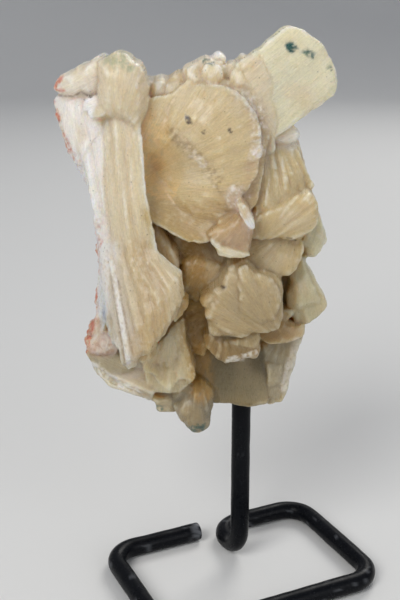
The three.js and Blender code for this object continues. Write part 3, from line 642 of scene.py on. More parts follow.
# The low fan, the pendant tip and the pale ribs under the column
foot = {
    "pink": {
        "rim": [(94, 326), (91, 336), (85, 341), (84, 346), (87, 353), (95, 355), (104, 353), (113, 350),
                (118, 342), (115, 330), (109, 318), (101, 310), (96, 314)],
        "front": -14, "back": 8, "side": -0.3, "proud": 2, "grain": (118, 300), "tint": "blush",
        "ripple": 0.4, "terrace": 0.3,
    },
    "grey": {
        "rim": [(86, 356), (94, 353), (104, 352), (116, 349), (124, 356), (132, 366), (142, 374),
                (146, 386), (138, 389), (124, 385), (110, 377), (98, 369), (90, 363)],
        "front": -13.5, "back": 8, "up": 0.1, "side": -0.15, "proud": 2, "grain": -20, "tint": "grey",
        "ripple": 0.4,
    },
    "ribs": {
        "rows": [
            [(95, 361, -9), (90.5, 364, -7)],
            [(108, 371, -13), (99, 375, -9)],
            [(124, 381, -16), (114, 386, -11)],
            [(140, 388, -18), (133, 395, -12)],
            [(154, 394, -18), (151, 400, -13)],
        ],
        "thick": 7, "ragged": 0.3, "tint": "white", "ripple": 0.4, "across": 50, "along": 70,
    },
    "step": {
        "rim": [(150, 396), (160, 397), (170, 398), (179, 402), (174, 411), (166, 411), (160, 410.5),
                (156, 408), (153, 402)],
        "front": -15, "back": -2, "up": 0.1, "proud": 1.6, "grain": 10, "tint": "grey",
    },
    "pendant": {
        "rim": [(178, 400), (186, 392), (193, 383), (200, 381), (206, 386), (210.5, 392), (212.5, 399),
                (212, 407), (211, 416), (210, 424), (207, 428.5), (200, 430), (194, 430), (188, 427),
                (182, 420), (177, 412), (174, 405)],
        "front": -18.5, "back": -4, "up": 0.1, "side": 0.15, "proud": 3.5, "power": 3, "grain": (196, 360),
        "tint": "dusk", "wave": 0.3,
    },
    "fan": {
        "rim": [(146, 352), (158, 340), (168, 332), (176, 324), (183, 320), (185, 332), (187, 346),
                (191, 359), (195, 370), (196.5, 380), (190, 387), (186, 393), (178, 398.5), (168, 399.5),
                (158, 399.5), (150, 396), (145, 388), (143, 377), (141.5, 364)],
        "front": -18.5, "back": 0, "hub": (168, 352), "proud": -2.4, "power": 1.2, "bulge": 2.5,
        "grain": (172, 305), "tint": "ivory", "ripple": 0.42, "ragged": 0.35, "sides": 200, "facets": 2,
        "slope": 0.2,
    },
    "fanFace": {
        "rim": [(150, 352), (160, 340), (170, 332), (175, 340), (176, 355), (174, 362), (168, 368),
                (160, 366), (150, 362)],
        "front": -21.6, "back": -8, "up": -0.1, "proud": 0.6, "power": 8, "grain": (172, 305),
        "tint": "ivory", "ripple": 0.3,
    },
}

# The broad smooth crystal that the post goes up into
base = {
    "smooth": {
        "rim": [(192, 350), (206, 346), (222, 350), (240, 352), (256, 350), (266, 352), (268, 368),
                (269, 385), (268, 401), (258, 404), (250, 405), (240, 404.5), (230, 401.5), (216, 402),
                (206, 400), (198, 392), (192, 376)],
        "front": -10, "back": 12, "up": 0.16, "proud": 1.5, "power": 9, "grain": (240, 300),
        "tint": "smoke", "ripple": 0.1, "terrace": 0.05, "wave": 0.3, "ragged": 0.15, "facets": 2,
        "slope": 0.1,
    },
    "corner": {
        "rim": [(262, 344), (275, 338), (290, 336), (305, 326), (307, 331), (303, 341), (298.5, 352),
                (294.5, 365), (291, 378), (288, 388), (284.5, 395), (281, 401), (274, 401.5), (267, 402),
                (266.5, 385), (264, 365)],
        "front": -8.5, "back": 10, "up": 0.12, "side": 0.2, "proud": 1.5, "power": 8, "grain": (290, 320),
        "tint": "grey", "ripple": 0.25,
    },
    "face": {
        "rim": [(268, 352), (278, 348), (284, 360), (283, 374), (280, 388), (274, 397), (268.5, 398),
                (268, 380), (266.5, 365)],
        "front": -10, "back": 0, "up": 0.12, "side": 0.3, "proud": 0.9, "power": 8, "grain": 80,
        "tint": "grey", "ripple": 0.25,
    },
}

for section in (column, crown, fan, topBlock, crest, right, knot, foot, base):
    for crystal in section.values():
        grow = sheet if "rows" in crystal else lobe
        grow(**crystal)
say(f"{len(crystals)} crystals drawn")


# The whole cluster is one skin over the drawn crystals and the solid's own back, wall and socket
skin = {
    "voxel": 0.45,
    "sink": 1.9,  # how far the solid's front is drawn in under the drawn crystals
    "sinkFrom": 4,
    "sinkAt": -5,
    "inset": 0.25,  # and how far all of the solid is drawn in
    "frontReach": 9,  # how far a drawn crystal's colour and fibres reach over the solid beside it
    "backReach": 1.2,
    "mostTriangles": 188000,
    "raysEach": 10,
    "rayReach": 16,
    "rayStart": 0.15,
    "raySpread": 1.05,  # the rays stay on the outer side of the surface
    "plainFrom": -2,  # from this depth to the next one the mesh is thinned more and more
    "plainTo": 10,
    "plainSteps": 4,
    "frontShare": 0.25,
    "leastShare": 0.2,
    "polish": 0.35,
    # the cluster's left outline in the photograph, which the solid's left wall is drawn in to
    "leftEdge": [(57, 120), (62, 136), (68, 150), (76, 160), (82, 175), (87, 195), (97, 203), (101, 215),
                 (98, 226), (100, 238), (96, 250), (97, 268), (98, 280), (94, 298), (95, 312), (94, 322),
                 (90, 336)],
    "edgeInset": 3,  # pixels
}


def sunkSolid():
    bm = bmesh.new()
    bm.from_mesh(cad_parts["stilbite_cluster"].data)
    bmesh.ops.remove_doubles(bm, verts=bm.verts, dist=1e-6)
    bmesh.ops.transform(bm, matrix=clusterToFrame.inverted(), verts=bm.verts)
    bmesh.ops.recalc_face_normals(bm, faces=bm.faces)
    bm.normal_update()
    depth = np.array([vert.co.y for vert in bm.verts])
    sink = skin["sink"] * (1 - smoothStep(skin["sinkAt"], skin["sinkFrom"], depth))
    for vert, inward in zip(bm.verts, sink):
        vert.co -= vert.normal * (inward + skin["inset"])
    places = np.array([vert.co for vert in bm.verts])
    pixels = toPhoto(places)
    edge = np.array(skin["leftEdge"], float).T
    inside = (pixels[:, 1] > edge[1][0]) & (pixels[:, 1] < edge[1][-1])
    outline = np.interp(pixels[:, 1], edge[1], edge[0]) + skin["edgeInset"]
    short = np.maximum(0, outline - pixels[:, 0]) * inside
    reach = places[:, 1] - camera["place"][1]
    for vert, right in zip(bm.verts, short * reach / camera["focalPixels"]):
        vert.co.x += right
    return bm


# All of it in one mesh, with a search tree over the drawn crystals and the crystal that each face is from
def joinedCrystals():
    whole = bmesh.new()
    owners = []
    for number, bm in enumerate([crystal["mesh"] for crystal in crystals] + [sunkSolid()]):
        if number == len(crystals):
            whole.faces.ensure_lookup_table()
            tree = BVHTree.FromBMesh(whole)
        mesh = bpy.data.meshes.new("crystal")
        bm.to_mesh(mesh)
        bm.free()
        whole.from_mesh(mesh)
        owners += [number] * len(mesh.polygons)
        bpy.data.meshes.remove(mesh)
    return whole, tree, np.array(owners)


def readVerts(mesh, what="co"):
    values = np.zeros(len(mesh.vertices) * 3, np.float32)
    mesh.vertices.foreach_get(what, values)
    return values.reshape(-1, 3).astype(float)


def writeVerts(mesh, places):
    mesh.vertices.foreach_set("co", places.astype(np.float32).ravel())
    mesh.update()


# The mesh that an object has once its modifiers are applied, in the object's place
def applyModifiers(thing):
    made = bpy.data.meshes.new_from_object(thing.evaluated_get(bpy.context.evaluated_depsgraph_get()))
    old = thing.data
    thing.modifiers.clear()
    thing.data = made
    bpy.data.meshes.remove(old)
    return made


def smoothed(points, edges, rounds, share=0.6):
    count = np.bincount(edges.ravel(), minlength=len(points))[:, None]
    for _ in range(rounds):
        total = np.zeros_like(points)
        for k in range(3):
            total[:, k] = np.bincount(edges[:, 0], points[edges[:, 1], k], len(points))
            total[:, k] += np.bincount(edges[:, 1], points[edges[:, 0], k], len(points))
        points = points + share * (total / np.maximum(count, 1) - points)
    return points


def readEdges(mesh):
    ends = np.zeros(len(mesh.edges) * 2, np.int32)
    mesh.edges.foreach_get("vertices", ends)
    return ends.reshape(-1, 2)


# The crystal that each point belongs to: in front the nearest drawn one, and behind, away from them, the rock
def nearestOwner(tree, owners, points):
    owner = np.full(len(points), len(crystals))
    for i, point in enumerate(points.tolist()):
        _, _, face, distance = tree.find_nearest(point)
        if distance < (skin["frontReach"] if point[1] < skin["sinkFrom"] else skin["backReach"]):
            owner[i] = owners[face]
    return owner


lay = {
    "sheetAcross": 16,  # a sheet counts as this wide across its fibres
    "sheetTwist": 0.25,
    "fanAcross": 26,  # and a fan at this radius has fibres of their real width
    "rockAxis": -12,
    "rockAcross": 30,
}


# Across and along the fibres of the crystal that each point belongs to, in millimetres
def fibres(points, owner):
    across = np.zeros(len(points))
    along = np.zeros(len(points))
    for number, crystal in enumerate(crystals):
        mine = owner == number
        x, y, z = points[mine].T
        if "edges" in crystal:
            rightEnd, leftEnd = (end[::-1].T for end in crystal["edges"])
            low = np.interp(z, leftEnd[1], leftEnd[0])
            high = np.interp(z, rightEnd[1], rightEnd[0])
            across[mine] = (x - low) / np.maximum(high - low, 1) * lay["sheetAcross"] + lay["sheetTwist"] * y
            along[mine] = z
        elif crystal["root"]:
            rootX, rootZ = crystal["root"]
            across[mine] = np.arctan2(z - rootZ, x - rootX) * lay["fanAcross"]
            along[mine] = np.hypot(x - rootX, z - rootZ)
        else:
            slope = math.radians(crystal["slope"])
            across[mine] = z * math.cos(slope) - x * math.sin(slope)
            along[mine] = x * math.cos(slope) + z * math.sin(slope)
    rock = owner == len(crystals)
    x, y, z = points[rock].T
    across[rock] = np.arctan2(y, x - lay["rockAxis"]) * lay["rockAcross"]
    along[rock] = z
    return across, along


def fromPath(pixels, path):
    nearest = np.full(len(pixels), np.inf)
    for start, end in zip(path, path[1:] or path):
        start, step = np.array(start, float), np.subtract(end, start).astype(float)
        share = np.clip((pixels - start) @ step / max(step @ step, 1e-9), 0, 1)
        nearest = np.minimum(nearest, np.linalg.norm(pixels - start - share[:, None] * step, axis=1))
    return nearest


# Marks and stains that the photograph shows, and some painted shade, painted glow and painted highlights,
# each
# along a line of pixels: its half width, soft edge, colour, strength, how broken up it is, and how much it
# roughens the surface
marks = [
    {"path": [(292, 47)], "width": 4.2, "soft": 3, "tint": "green", "share": 1, "broken": 0.45,
     "rough": 0.2},
    {"path": [(306, 52), (313, 55)], "width": 2.4, "soft": 2.5, "tint": "green", "share": 0.9,
     "broken": 0.6, "rough": 0.15},
    {"path": [(300, 50), (306, 52)], "width": 2, "soft": 2, "tint": "moss", "share": 0.5, "broken": 0.9,
     "rough": 0.1},
    {"path": [(330, 68)], "width": 1.6, "soft": 1.5, "tint": "green", "share": 0.9, "broken": 0.6,
     "rough": 0.1},
    {"path": [(205, 61), (212, 63)], "width": 1.8, "soft": 1.8, "tint": "green", "share": 0.75,
     "broken": 0.8, "rough": 0.15},
    {"path": [(112, 60), (122, 58), (130, 64)], "width": 5, "soft": 6, "tint": "lichen", "share": 0.65,
     "broken": 0.7, "rough": 0.1},
    {"path": [(188, 428), (194, 429), (204, 427)], "width": 2.2, "soft": 2, "tint": "green", "share": 0.85,
     "broken": 0.8, "rough": 0.15},
    {"path": [(156, 407), (161, 409)], "width": 2, "soft": 2, "tint": "green", "share": 0.85,
     "broken": 0.8, "rough": 0.15},
    {"path": [(187.5, 117), (188.5, 122)], "width": 2, "soft": 1.2, "tint": "brown", "share": 1,
     "broken": 0.25, "rough": 0.2},
    {"path": [(203, 131), (204, 133)], "width": 1.2, "soft": 1.2, "tint": "brown", "share": 0.8,
     "broken": 0.4, "rough": 0.1},
    {"path": [(230, 130), (231, 132)], "width": 1.2, "soft": 1, "tint": "brown", "share": 0.8,
     "broken": 0.3, "rough": 0.1},
    {"path": [(170, 130), (175, 132), (173, 136)], "width": 3, "soft": 3, "tint": "umber", "share": 0.6,
     "broken": 0.95, "rough": 0.03},
    {"path": [(180, 143), (192, 152), (206, 165), (220, 186)], "width": 3, "soft": 6, "tint": "umber",
     "share": 0.45, "broken": 0.95, "rough": 0.03},
    {"path": [(222, 287), (224, 288)], "width": 1.5, "soft": 1.3, "tint": "brown", "share": 0.95,
     "broken": 0.3, "rough": 0.03},
    {"path": [(254, 156), (260, 151)], "width": 3.5, "soft": 3, "tint": "snow", "share": 0.95,
     "broken": 0.5, "rough": 0.03},
    {"path": [(234, 190), (246, 195)], "width": 3, "soft": 3, "tint": "snow", "share": 0.6, "broken": 0.8,
     "rough": 0.03},
    {"path": [(196, 158), (203, 166), (190, 150)], "width": 2.5, "soft": 3, "tint": "snow", "share": 0.5,
     "broken": 0.9, "rough": 0.03},
    {"path": [(240, 92), (256, 110), (262, 130), (260, 150), (254, 172), (250, 198)], "width": 6,
     "soft": 8, "tint": "rose", "share": 0.5, "broken": 0.4, "rough": 0.03},
    # painted glints: broken white flecks along the fan's rim stand in for sparkle of light
    {"path": [(243, 94), (256, 110), (259, 128), (256, 148)], "width": 3.5, "soft": 5, "tint": "snow",
     "share": 0.6, "broken": 0.9, "rough": 0.03},
    # painted glow: amber in the fan's recess behind the column, as if light passed through the crystal
    {"path": [(148, 130), (150, 160), (154, 185), (168, 200)], "width": 8, "soft": 26, "tint": "amber",
     "share": 0.55, "broken": 0.15, "behind": -15.8},
    # painted shade on the fan's lower part, where it turns under
    {"path": [(162, 214), (182, 220), (205, 222), (228, 212), (244, 200)], "width": 11, "soft": 12,
     "tint": "ochre", "share": 0.6, "broken": 0.25, "rough": 0.03},
    {"path": [(168, 110), (200, 88), (235, 100)], "width": 9, "soft": 12, "tint": "cream", "share": 0.35,
     "broken": 0.4, "rough": 0.03},
    {"path": [(215, 215), (240, 240), (262, 262), (272, 240)], "width": 6, "soft": 8, "tint": "tan",
     "share": 0.35, "broken": 0.5, "rough": 0.15},
    # painted shade in the deep hollow between the column's foot and the knot
    {"path": [(192, 250), (196, 290), (190, 330), (198, 350), (202, 390)], "width": 8, "soft": 10,
     "tint": "olive", "share": 0.75, "broken": 0.3, "rough": 0.1},
    {"path": [(52, 104), (53, 93), (56, 84), (62, 76)], "width": 1.5, "soft": 1.6, "tint": "red",
     "share": 0.75, "broken": 0.6, "rough": 0.35, "deep": 30},
    {"path": [(57, 90), (64, 90.5)], "width": 0.8, "soft": 1, "tint": "red", "share": 0.7, "broken": 0.4,
     "rough": 0.2},
    {"path": [(54, 112), (58, 128), (63, 140), (70, 153), (78, 164)], "width": 3.2, "soft": 2,
     "tint": "red", "share": 0.9, "broken": 0.8, "rough": 0.5, "deep": 30},
    {"path": [(78, 164), (84, 182), (90, 198)], "width": 2, "soft": 1.5, "tint": "red", "share": 0.75,
     "broken": 0.8, "rough": 0.4, "deep": 30},
    {"path": [(98, 224), (98, 238), (95, 252), (97, 272)], "width": 3.4, "soft": 1.6, "tint": "red",
     "share": 0.9, "broken": 0.7, "rough": 0.5, "deep": 30},
    {"path": [(94, 292), (94, 320)], "width": 3.2, "soft": 1.8, "tint": "red", "share": 0.9, "broken": 0.7,
     "rough": 0.5, "deep": 30},
    {"path": [(92, 326), (86, 342), (84, 350)], "width": 3.4, "soft": 2, "tint": "red", "share": 0.85,
     "broken": 0.7, "rough": 0.5, "deep": 30},
    {"path": [(104, 330), (100, 345), (112, 345)], "width": 6, "soft": 6, "tint": "snow", "share": 0.35,
     "broken": 0.5, "rough": 0.25},
    {"path": [(92, 364), (104, 374), (120, 384), (136, 391)], "width": 1.8, "soft": 2.5, "tint": "snow",
     "share": 0.6, "broken": 0.5, "rough": 0.2},
    # painted shadow: thin dark lines along both edges of the proud lath
    {"path": [(107, 250), (113, 290), (120, 330), (125, 364)], "width": 0.5, "soft": 1, "tint": "umber",
     "share": 0.5, "broken": 0.4},
    {"path": [(118, 280), (124, 313), (130, 342), (133.5, 357)], "width": 0.5, "soft": 1, "tint": "umber",
     "share": 0.5, "broken": 0.4},
    # painted highlight along the glossy rib
    {"path": [(112, 262), (118, 300), (124, 335), (128.5, 362)], "width": 1.6, "soft": 1.6, "tint": "snow",
     "share": 0.8, "broken": 0.2},
    {"path": [(140, 255), (150, 285), (152, 320), (144, 348)], "width": 9, "soft": 14, "tint": "ochre",
     "share": 0.42, "broken": 0.3, "rough": 0.05},
    {"path": [(56, 95), (73, 96.5), (81, 92), (90, 96), (97, 93.5)], "width": 0.5, "soft": 1,
     "tint": "umber", "share": 0.6, "broken": 0.4},
    {"path": [(90, 96.5), (91, 96.8)], "width": 0.9, "soft": 0.8, "tint": "brown", "share": 0.9,
     "broken": 0.3},
    {"path": [(287, 238), (291, 238.6), (296, 240.5)], "width": 0.35, "soft": 0.7, "tint": "brown",
     "share": 0.7, "broken": 0.4},
    {"path": [(228, 360), (240, 358), (256, 352)], "width": 1.8, "soft": 1.6, "tint": "snow", "share": 0.6,
     "broken": 0.7, "rough": 0.2},
    {"path": [(298, 342), (290, 365), (284, 388)], "width": 2.5, "soft": 4, "tint": "snow", "share": 0.4,
     "broken": 0.3, "rough": 0.05},
    {"path": [(72, 160), (92, 210), (102, 260), (100, 310)], "width": 5, "soft": 7, "tint": "snow",
     "share": 0.7, "broken": 0.15, "rough": 0.1},
    {"path": [(230, 380), (250, 390), (235, 395)], "width": 10, "soft": 14, "tint": "smoke", "share": 0.5,
     "broken": 0.3},
]
markForm = {
    "deep": 7,  # marks stay on what lies nearer than this
    "edgeWave": 1.1,
    "holeSize": 0.8,
    "holeEdge": (-0.6, 0.5),
    "holeShare": (0.7, 0.9),
    "roughBroken": 0.2,
    "roughGrain": 1.3,
}

tints = {
    "cream": (222, 208, 180), "gold": (208, 188, 146), "tan": (206, 182, 142), "pale": (224, 218, 190),
    "white": (242, 235, 227), "chalk": (226, 217, 202), "grey": (196, 188, 168), "smoke": (132, 120, 88),
    "low": (202, 184, 148), "hem": (172, 148, 104), "rose": (190, 162, 132), "dusk": (160, 152, 134),
    "blush": (236, 208, 196), "amber": (240, 204, 144), "olive": (176, 138, 70), "umber": (128, 94, 54),
    "ochre": (184, 152, 100), "ivory": (250, 240, 214),
    "brown": (58, 34, 16), "green": (24, 84, 80), "moss": (96, 128, 98), "lichen": (170, 178, 146),
    "snow": (250, 247, 242), "red": (196, 88, 58), "rock": (204, 158, 134),
}


def inked(name):
    value = np.array(tints[name]) / 255
    return np.where(value <= 0.04045, value / 12.92, ((value + 0.055) / 1.055) ** 2.4)


def markStrength(mark, points, pixels, seed):
    strength = np.zeros(len(points))
    away = fromPath(pixels, mark["path"])
    near = (away < 2 * mark["width"] + mark["soft"]) & (points[:, 1] < mark.get("deep", markForm["deep"]))
    near &= points[:, 1] > mark.get("behind", -math.inf)
    place = points[near]
    away = away[near] + mark["broken"] * mark["width"] * softNoise(place, markForm["edgeWave"], seed)
    whole, broken = markForm["holeShare"]
    holes = layeredNoise(place, markForm["holeSize"], seed + 1, 2) + whole - broken * mark["broken"]
    faded = 1 - smoothStep(mark["width"], mark["width"] + mark["soft"], away)
    strength[near] = faded * smoothStep(*markForm["holeEdge"], holes)
    return strength


relief = {
    "rockRipple": 0.2,
    "rockTerrace": 0.5,
    "ownerShift": 3.1,  # each crystal has its own part of the noise
    "fibreStretch": 9,
    "fibreWidth": 1.2,
    "fibreHeight": 0.55,
    "bundleWidth": 3.1,
    "bundleHeight": 0.6,
    "patchSize": 9,
    "patchRange": (0.6, 0.5),  # the fibres' middle height, and how far it swings from place to place
    "ledgeSize": 8,
    "ledgeSteps": 2.4,
    "ledgeEdge": 0.3,
    "ledgeHeight": 0.9,
    "lathWidth": 1.8,
    "lathSway": 0.35,
    "lathSwaySize": 5,
    "lathShift": 3.7,
    "lathStretch": 13,
    "lathSteps": 2.5,
    "lathHeight": 0.9,
    "gritSize": 1.8,
    "gritHeight": 0.1,
    "rockDepths": (2, 9),  # the rock's bumps grow from none to their full height between these
    "rockSize": 6,
    "rockHeight": 0.75,
    "lumpSize": 2.4,
    "lumpHeight": 0.4,
}
seeds = {
    "fibre": 3, "bundle": 4, "patch": 5, "ledge": 6, "grit": 7, "rock": 8, "lump": 9, "markRough": 11,
    "sway": 12, "lath": 13, "rays": 12, "cloud": 31, "redCloud": 33, "fineStreak": 41, "streak": 42,
    "creamPatch": 43, "goldPatch": 44, "markShape": 400, "markTint": 500, "dent": 71, "wornEnd": 77,
    "wornSpot": 81,
}


# The fibres, laths, ledges and lumps that stand up from each crystal, along its surface's own headings
def sculpted(points, normals, owner):
    across, along = fibres(points, owner)
    ripple = np.array([crystal["ripple"] for crystal in crystals] + [relief["rockRipple"]])[owner]
    terrace = np.array([crystal["terrace"] for crystal in crystals] + [relief["rockTerrace"]])[owner]
    shift = owner * relief["ownerShift"]
    stretched = np.column_stack([across, along / relief["fibreStretch"], shift])
    lines = relief["fibreHeight"] * softNoise(stretched, relief["fibreWidth"], seeds["fibre"])
    lines = lines + relief["bundleHeight"] * softNoise(stretched, relief["bundleWidth"], seeds["bundle"])
    middle, swing = relief["patchRange"]
    patch = middle + swing * softNoise(points, relief["patchSize"], seeds["patch"])
    level = layeredNoise(points, relief["ledgeSize"], seeds["ledge"], 2) * relief["ledgeSteps"]
    stair = smoothStep(0, relief["ledgeEdge"], level % 1) - level % 1
    sway = relief["lathSway"] * softNoise(points, relief["lathSwaySize"], seeds["sway"])
    lath = np.floor(across / relief["lathWidth"] + sway) * relief["lathShift"]
    steps = softNoise(np.column_stack([lath, along / relief["lathStretch"], shift]), 1, seeds["lath"])
    splinter = np.round(relief["lathSteps"] * steps) / relief["lathSteps"]
    height = ripple * (lines * patch + relief["lathHeight"] * splinter)
    height = height + relief["ledgeHeight"] * terrace * stair
    height += relief["gritHeight"] * layeredNoise(points, relief["gritSize"], seeds["grit"], 2)
    rock = (owner == len(crystals)) * smoothStep(*relief["rockDepths"], points[:, 1])
    bumps = relief["rockHeight"] * layeredNoise(points, relief["rockSize"], seeds["rock"], 3)
    lumps = relief["lumpHeight"] * np.abs(softNoise(points, relief["lumpSize"], seeds["lump"]))
    height += rock * (bumps + lumps)
    pixels = toPhoto(points)
    for number, mark in enumerate(marks):
        if "rough" in mark:
            whole = {**mark, "broken": markForm["roughBroken"]}
            spread = markStrength(whole, points, pixels, seeds["markShape"] + number)
            grit = layeredNoise(points, markForm["roughGrain"], seeds["markRough"], 2)
            height += mark["rough"] * spread * grit
    return points + normals * height[:, None]


def buildSkin():
    bm, tree, owners = joinedCrystals()
    mesh = bpy.data.meshes.new("stilbite_crystals")
    bm.to_mesh(mesh)
    bm.free()
    piece = bpy.data.objects.new("stilbite_crystals", mesh)
    bpy.context.collection.objects.link(piece)
    remesh = piece.modifiers.new("skin", "REMESH")
    remesh.mode = "VOXEL"
    remesh.voxel_size = skin["voxel"]
    mesh = applyModifiers(piece)
    say(f"skin of {len(mesh.polygons)} faces")
    points = smoothed(readVerts(mesh), readEdges(mesh), 1)
    writeVerts(mesh, points)
    owner = nearestOwner(tree, owners, points)
    points = sculpted(points, readVerts(mesh, "normal"), owner)
    writeVerts(mesh, smoothed(points, readEdges(mesh), 1, skin["polish"]))
    say("fibres and ledges cut")
    group = piece.vertex_groups.new(name="plain")
    plainness = smoothStep(skin["plainFrom"], skin["plainTo"], points[:, 1])
    plainness = skin["frontShare"] + (1 - skin["frontShare"]) * plainness
    for step in range(skin["plainSteps"] + 1):
        chosen = np.nonzero(np.round(plainness * skin["plainSteps"]) == step)[0]
        group.add(chosen.tolist(), max(step / skin["plainSteps"], skin["leastShare"]), "REPLACE")
    triangles = sum(len(face.vertices) - 2 for face in mesh.polygons)
    thin = piece.modifiers.new("thin", "DECIMATE")
    thin.vertex_group = "plain"
    thin.vertex_group_factor = 1
    thin.ratio = min(1, skin["mostTriangles"] / triangles)
    mesh = applyModifiers(piece)
    piece.vertex_groups.clear()
    say(f"thinned to {sum(len(face.vertices) - 2 for face in mesh.polygons)} triangles")
    return piece, tree, owners


stilbite = {
    "subsurface": 0.95,
    "softRadius": (1.0, 0.8, 0.48),
    "softScale": 0.009,
    "roughness": (0.2, 0.48),
    "coat": 0.3,
    "coatRoughness": 0.18,
    "fibreBump": 0.7,
    "lathBump": 0.35,
    "grainBump": 0.22,
    "glassiness": 1.5,
    "fibreDepth": 0.0006,
    "lathDepth": 0.00025,
    "grainDepth": 0.0003,
    "fibreStretch": 0.07,
    "fineStretch": 0.16,
    "lathStretch": 0.2,
    "crystalShift": 5.0,
    "fibreScale": 2.6,
    "fineScale": 4.5,
    "lathScale": 0.9,
    "noiseRoughness": 0.65,
    "gritScale": 1500.0,
    "flakeScale": 900.0,
    "pitScale": 420.0,
    "cloudScale": 130.0,
    "streaks": (0.88, 1.08),  # the darkest and the lightest that the fibres make the tint
    "speckle": (0.94, 1.06),
    "pit": (0.62, 1.0),
    "unshadedAbove": 138,  # above this height the crystals have their own colour, and lower down painted shade darkens them
    "fullShadeBelow": 85,
    "lowShadeLoss": (0.29, 0.34, 0.45),
}


# How much of the sky near each point is blocked by the cluster itself, which places the painted glow and
# painted shade in the hollows
def hollowness(mesh, points, normals):
    tree = BVHTree.FromPolygons(points.tolist(), [face.vertices for face in mesh.polygons])
    rays = np.random.default_rng(seeds["rays"]).normal(size=(skin["raysEach"], 3))
    rays /= np.linalg.norm(rays, axis=1)[:, None]
    blocked = np.zeros(len(points))
    starts = (points + normals * skin["rayStart"]).tolist()
    for ray in rays:
        turned = ray + normals * skin["raySpread"]
        turned /= np.linalg.norm(turned, axis=1)[:, None]
        pairs = zip(starts, turned.tolist())
        blocked += [tree.ray_cast(start, way, skin["rayReach"])[0] is not None for start, way in pairs]
    return blocked / len(rays)


# Where each tint lies and how strong it is there
paint = {
    "hollowRounds": 4,
    "proudRounds": 8,
    "edgeRounds": 6,  # how far one crystal's tint blurs into the next one's
    "backDepths": (4, 12),
    "cloudSize": 7,
    "rockCloud": (-0.4, 0.6),
    "rockShare": 0.7,
    "chalkCloud": (0.0, 0.9),
    "chalkShare": 0.6,
    "redSize": 2.4,
    "redCloud": (0.35, 0.8),
    "redShare": 0.35,
    "streakStretch": 12,
    "fineStreak": (0.03, 0.9),  # how strong, and how wide in millimetres
    "streak": (0.04, 3.3),
    "creamSize": 6,
    "creamCloud": (0.1, 0.8),
    "creamShare": 0.5,
    "goldSize": 8,
    "goldCloud": (0.2, 0.8),
    "goldShare": 0.35,
    "goldDepth": 4,
    # painted glow and painted shade in the hollows: amber as if lit through the crystal, olive in the deepest
    # shade
    "hollowGlowRange": (0.5, 0.9),
    "hollowGlowShare": 0.4,
    "hollowShadeRange": (0.75, 1.0),
    "hollowShadeShare": 0.3,
    # painted highlight on convex edges
    "edgeHighlightRange": (0.1, 0.35),
    "edgeHighlightShare": 0.35,
    # painted shade on the lower parts stays on what lies nearer than this depth
    "lowShadeDepth": 6,
    "faceTurn": (0.6, 0.2),  # marks fade out where the surface turns away from the front
    "grainShift": 3.0,
}


def paintSkin(piece, tree, owners):
    mesh = piece.data
    points, normals, edges = readVerts(mesh), readVerts(mesh, "normal"), readEdges(mesh)
    owner = nearestOwner(tree, owners, points)
    across, along = fibres(points, owner)
    occlusion = hollowness(mesh, points, normals)
    occlusion = smoothed(np.column_stack([occlusion] * 3), edges, paint["hollowRounds"])[:, 0]
    proud = np.sum((points - smoothed(points, edges, paint["proudRounds"])) * normals, axis=1)
    palette = np.array([inked(crystal["tint"]) for crystal in crystals] + [inked("tan")])
    colour = smoothed(palette[owner], edges, paint["edgeRounds"])

    def blend(name, share):
        nonlocal colour
        share = np.clip(share, 0, 1)[:, None]
        colour = colour * (1 - share) + inked(name) * share

    def patches(size, seed, cloud):
        return smoothStep(*paint[cloud], softNoise(points, paint[size], seeds[seed]))

    back = smoothStep(*paint["backDepths"], points[:, 1]) * (owner == len(crystals))
    cloud = layeredNoise(points, paint["cloudSize"], seeds["cloud"], 3)
    redCloud = layeredNoise(points, paint["redSize"], seeds["redCloud"], 3)
    blend("rock", back * smoothStep(*paint["rockCloud"], cloud) * paint["rockShare"])
    blend("chalk", back * smoothStep(*paint["chalkCloud"], -cloud) * paint["chalkShare"])
    blend("red", back * smoothStep(*paint["redCloud"], redCloud) * paint["redShare"])
    stretched = np.column_stack([across, along / paint["streakStretch"], owner * relief["ownerShift"]])
    streaks = 1
    for name in ("fineStreak", "streak"):
        strength, size = paint[name]
        streaks = streaks + strength * softNoise(stretched, size, seeds[name])
    colour = colour * streaks[:, None]
    blend("cream", paint["creamShare"] * patches("creamSize", "creamPatch", "creamCloud"))
    inFront = points[:, 1] < paint["goldDepth"]
    blend("gold", paint["goldShare"] * patches("goldSize", "goldPatch", "goldCloud") * inFront)
    # painted glow and painted shade: hollows turn amber as if lit through the crystal, and the deepest ones
    # olive as if in shade
    blend("amber", paint["hollowGlowShare"] * smoothStep(*paint["hollowGlowRange"], occlusion))
    blend("olive", paint["hollowShadeShare"] * smoothStep(*paint["hollowShadeRange"], occlusion))
    # painted highlight: convex edges are whitened as if light shone through their thin rims
    blend("snow", paint["edgeHighlightShare"] * smoothStep(*paint["edgeHighlightRange"], proud))
    # painted shade: the lower front of the cluster is darkened as if less light reached it
    low = smoothStep(stilbite["unshadedAbove"], stilbite["fullShadeBelow"], points[:, 2])
    low = low * (points[:, 1] < paint["lowShadeDepth"])
    colour = colour * (1 - low[:, None] * stilbite["lowShadeLoss"])
    pixels = toPhoto(points)
    facing = smoothStep(*paint["faceTurn"], normals[:, 1])
    for number, mark in enumerate(marks):
        spread = markStrength(mark, points, pixels, seeds["markTint"] + 2 * number)
        blend(mark["tint"], mark["share"] * facing * spread)
    tint = mesh.attributes.new("tint", "FLOAT_COLOR", "POINT")
    tint.data.foreach_set("color", np.column_stack([colour, np.ones(len(points))]).astype(np.float32).ravel())
    grain = mesh.attributes.new("grain", "FLOAT_VECTOR", "POINT")
    grainPlace = np.column_stack([across, along, owner * paint["grainShift"]])
    grain.data.foreach_set("vector", grainPlace.astype(np.float32).ravel())
    say("colours laid on")


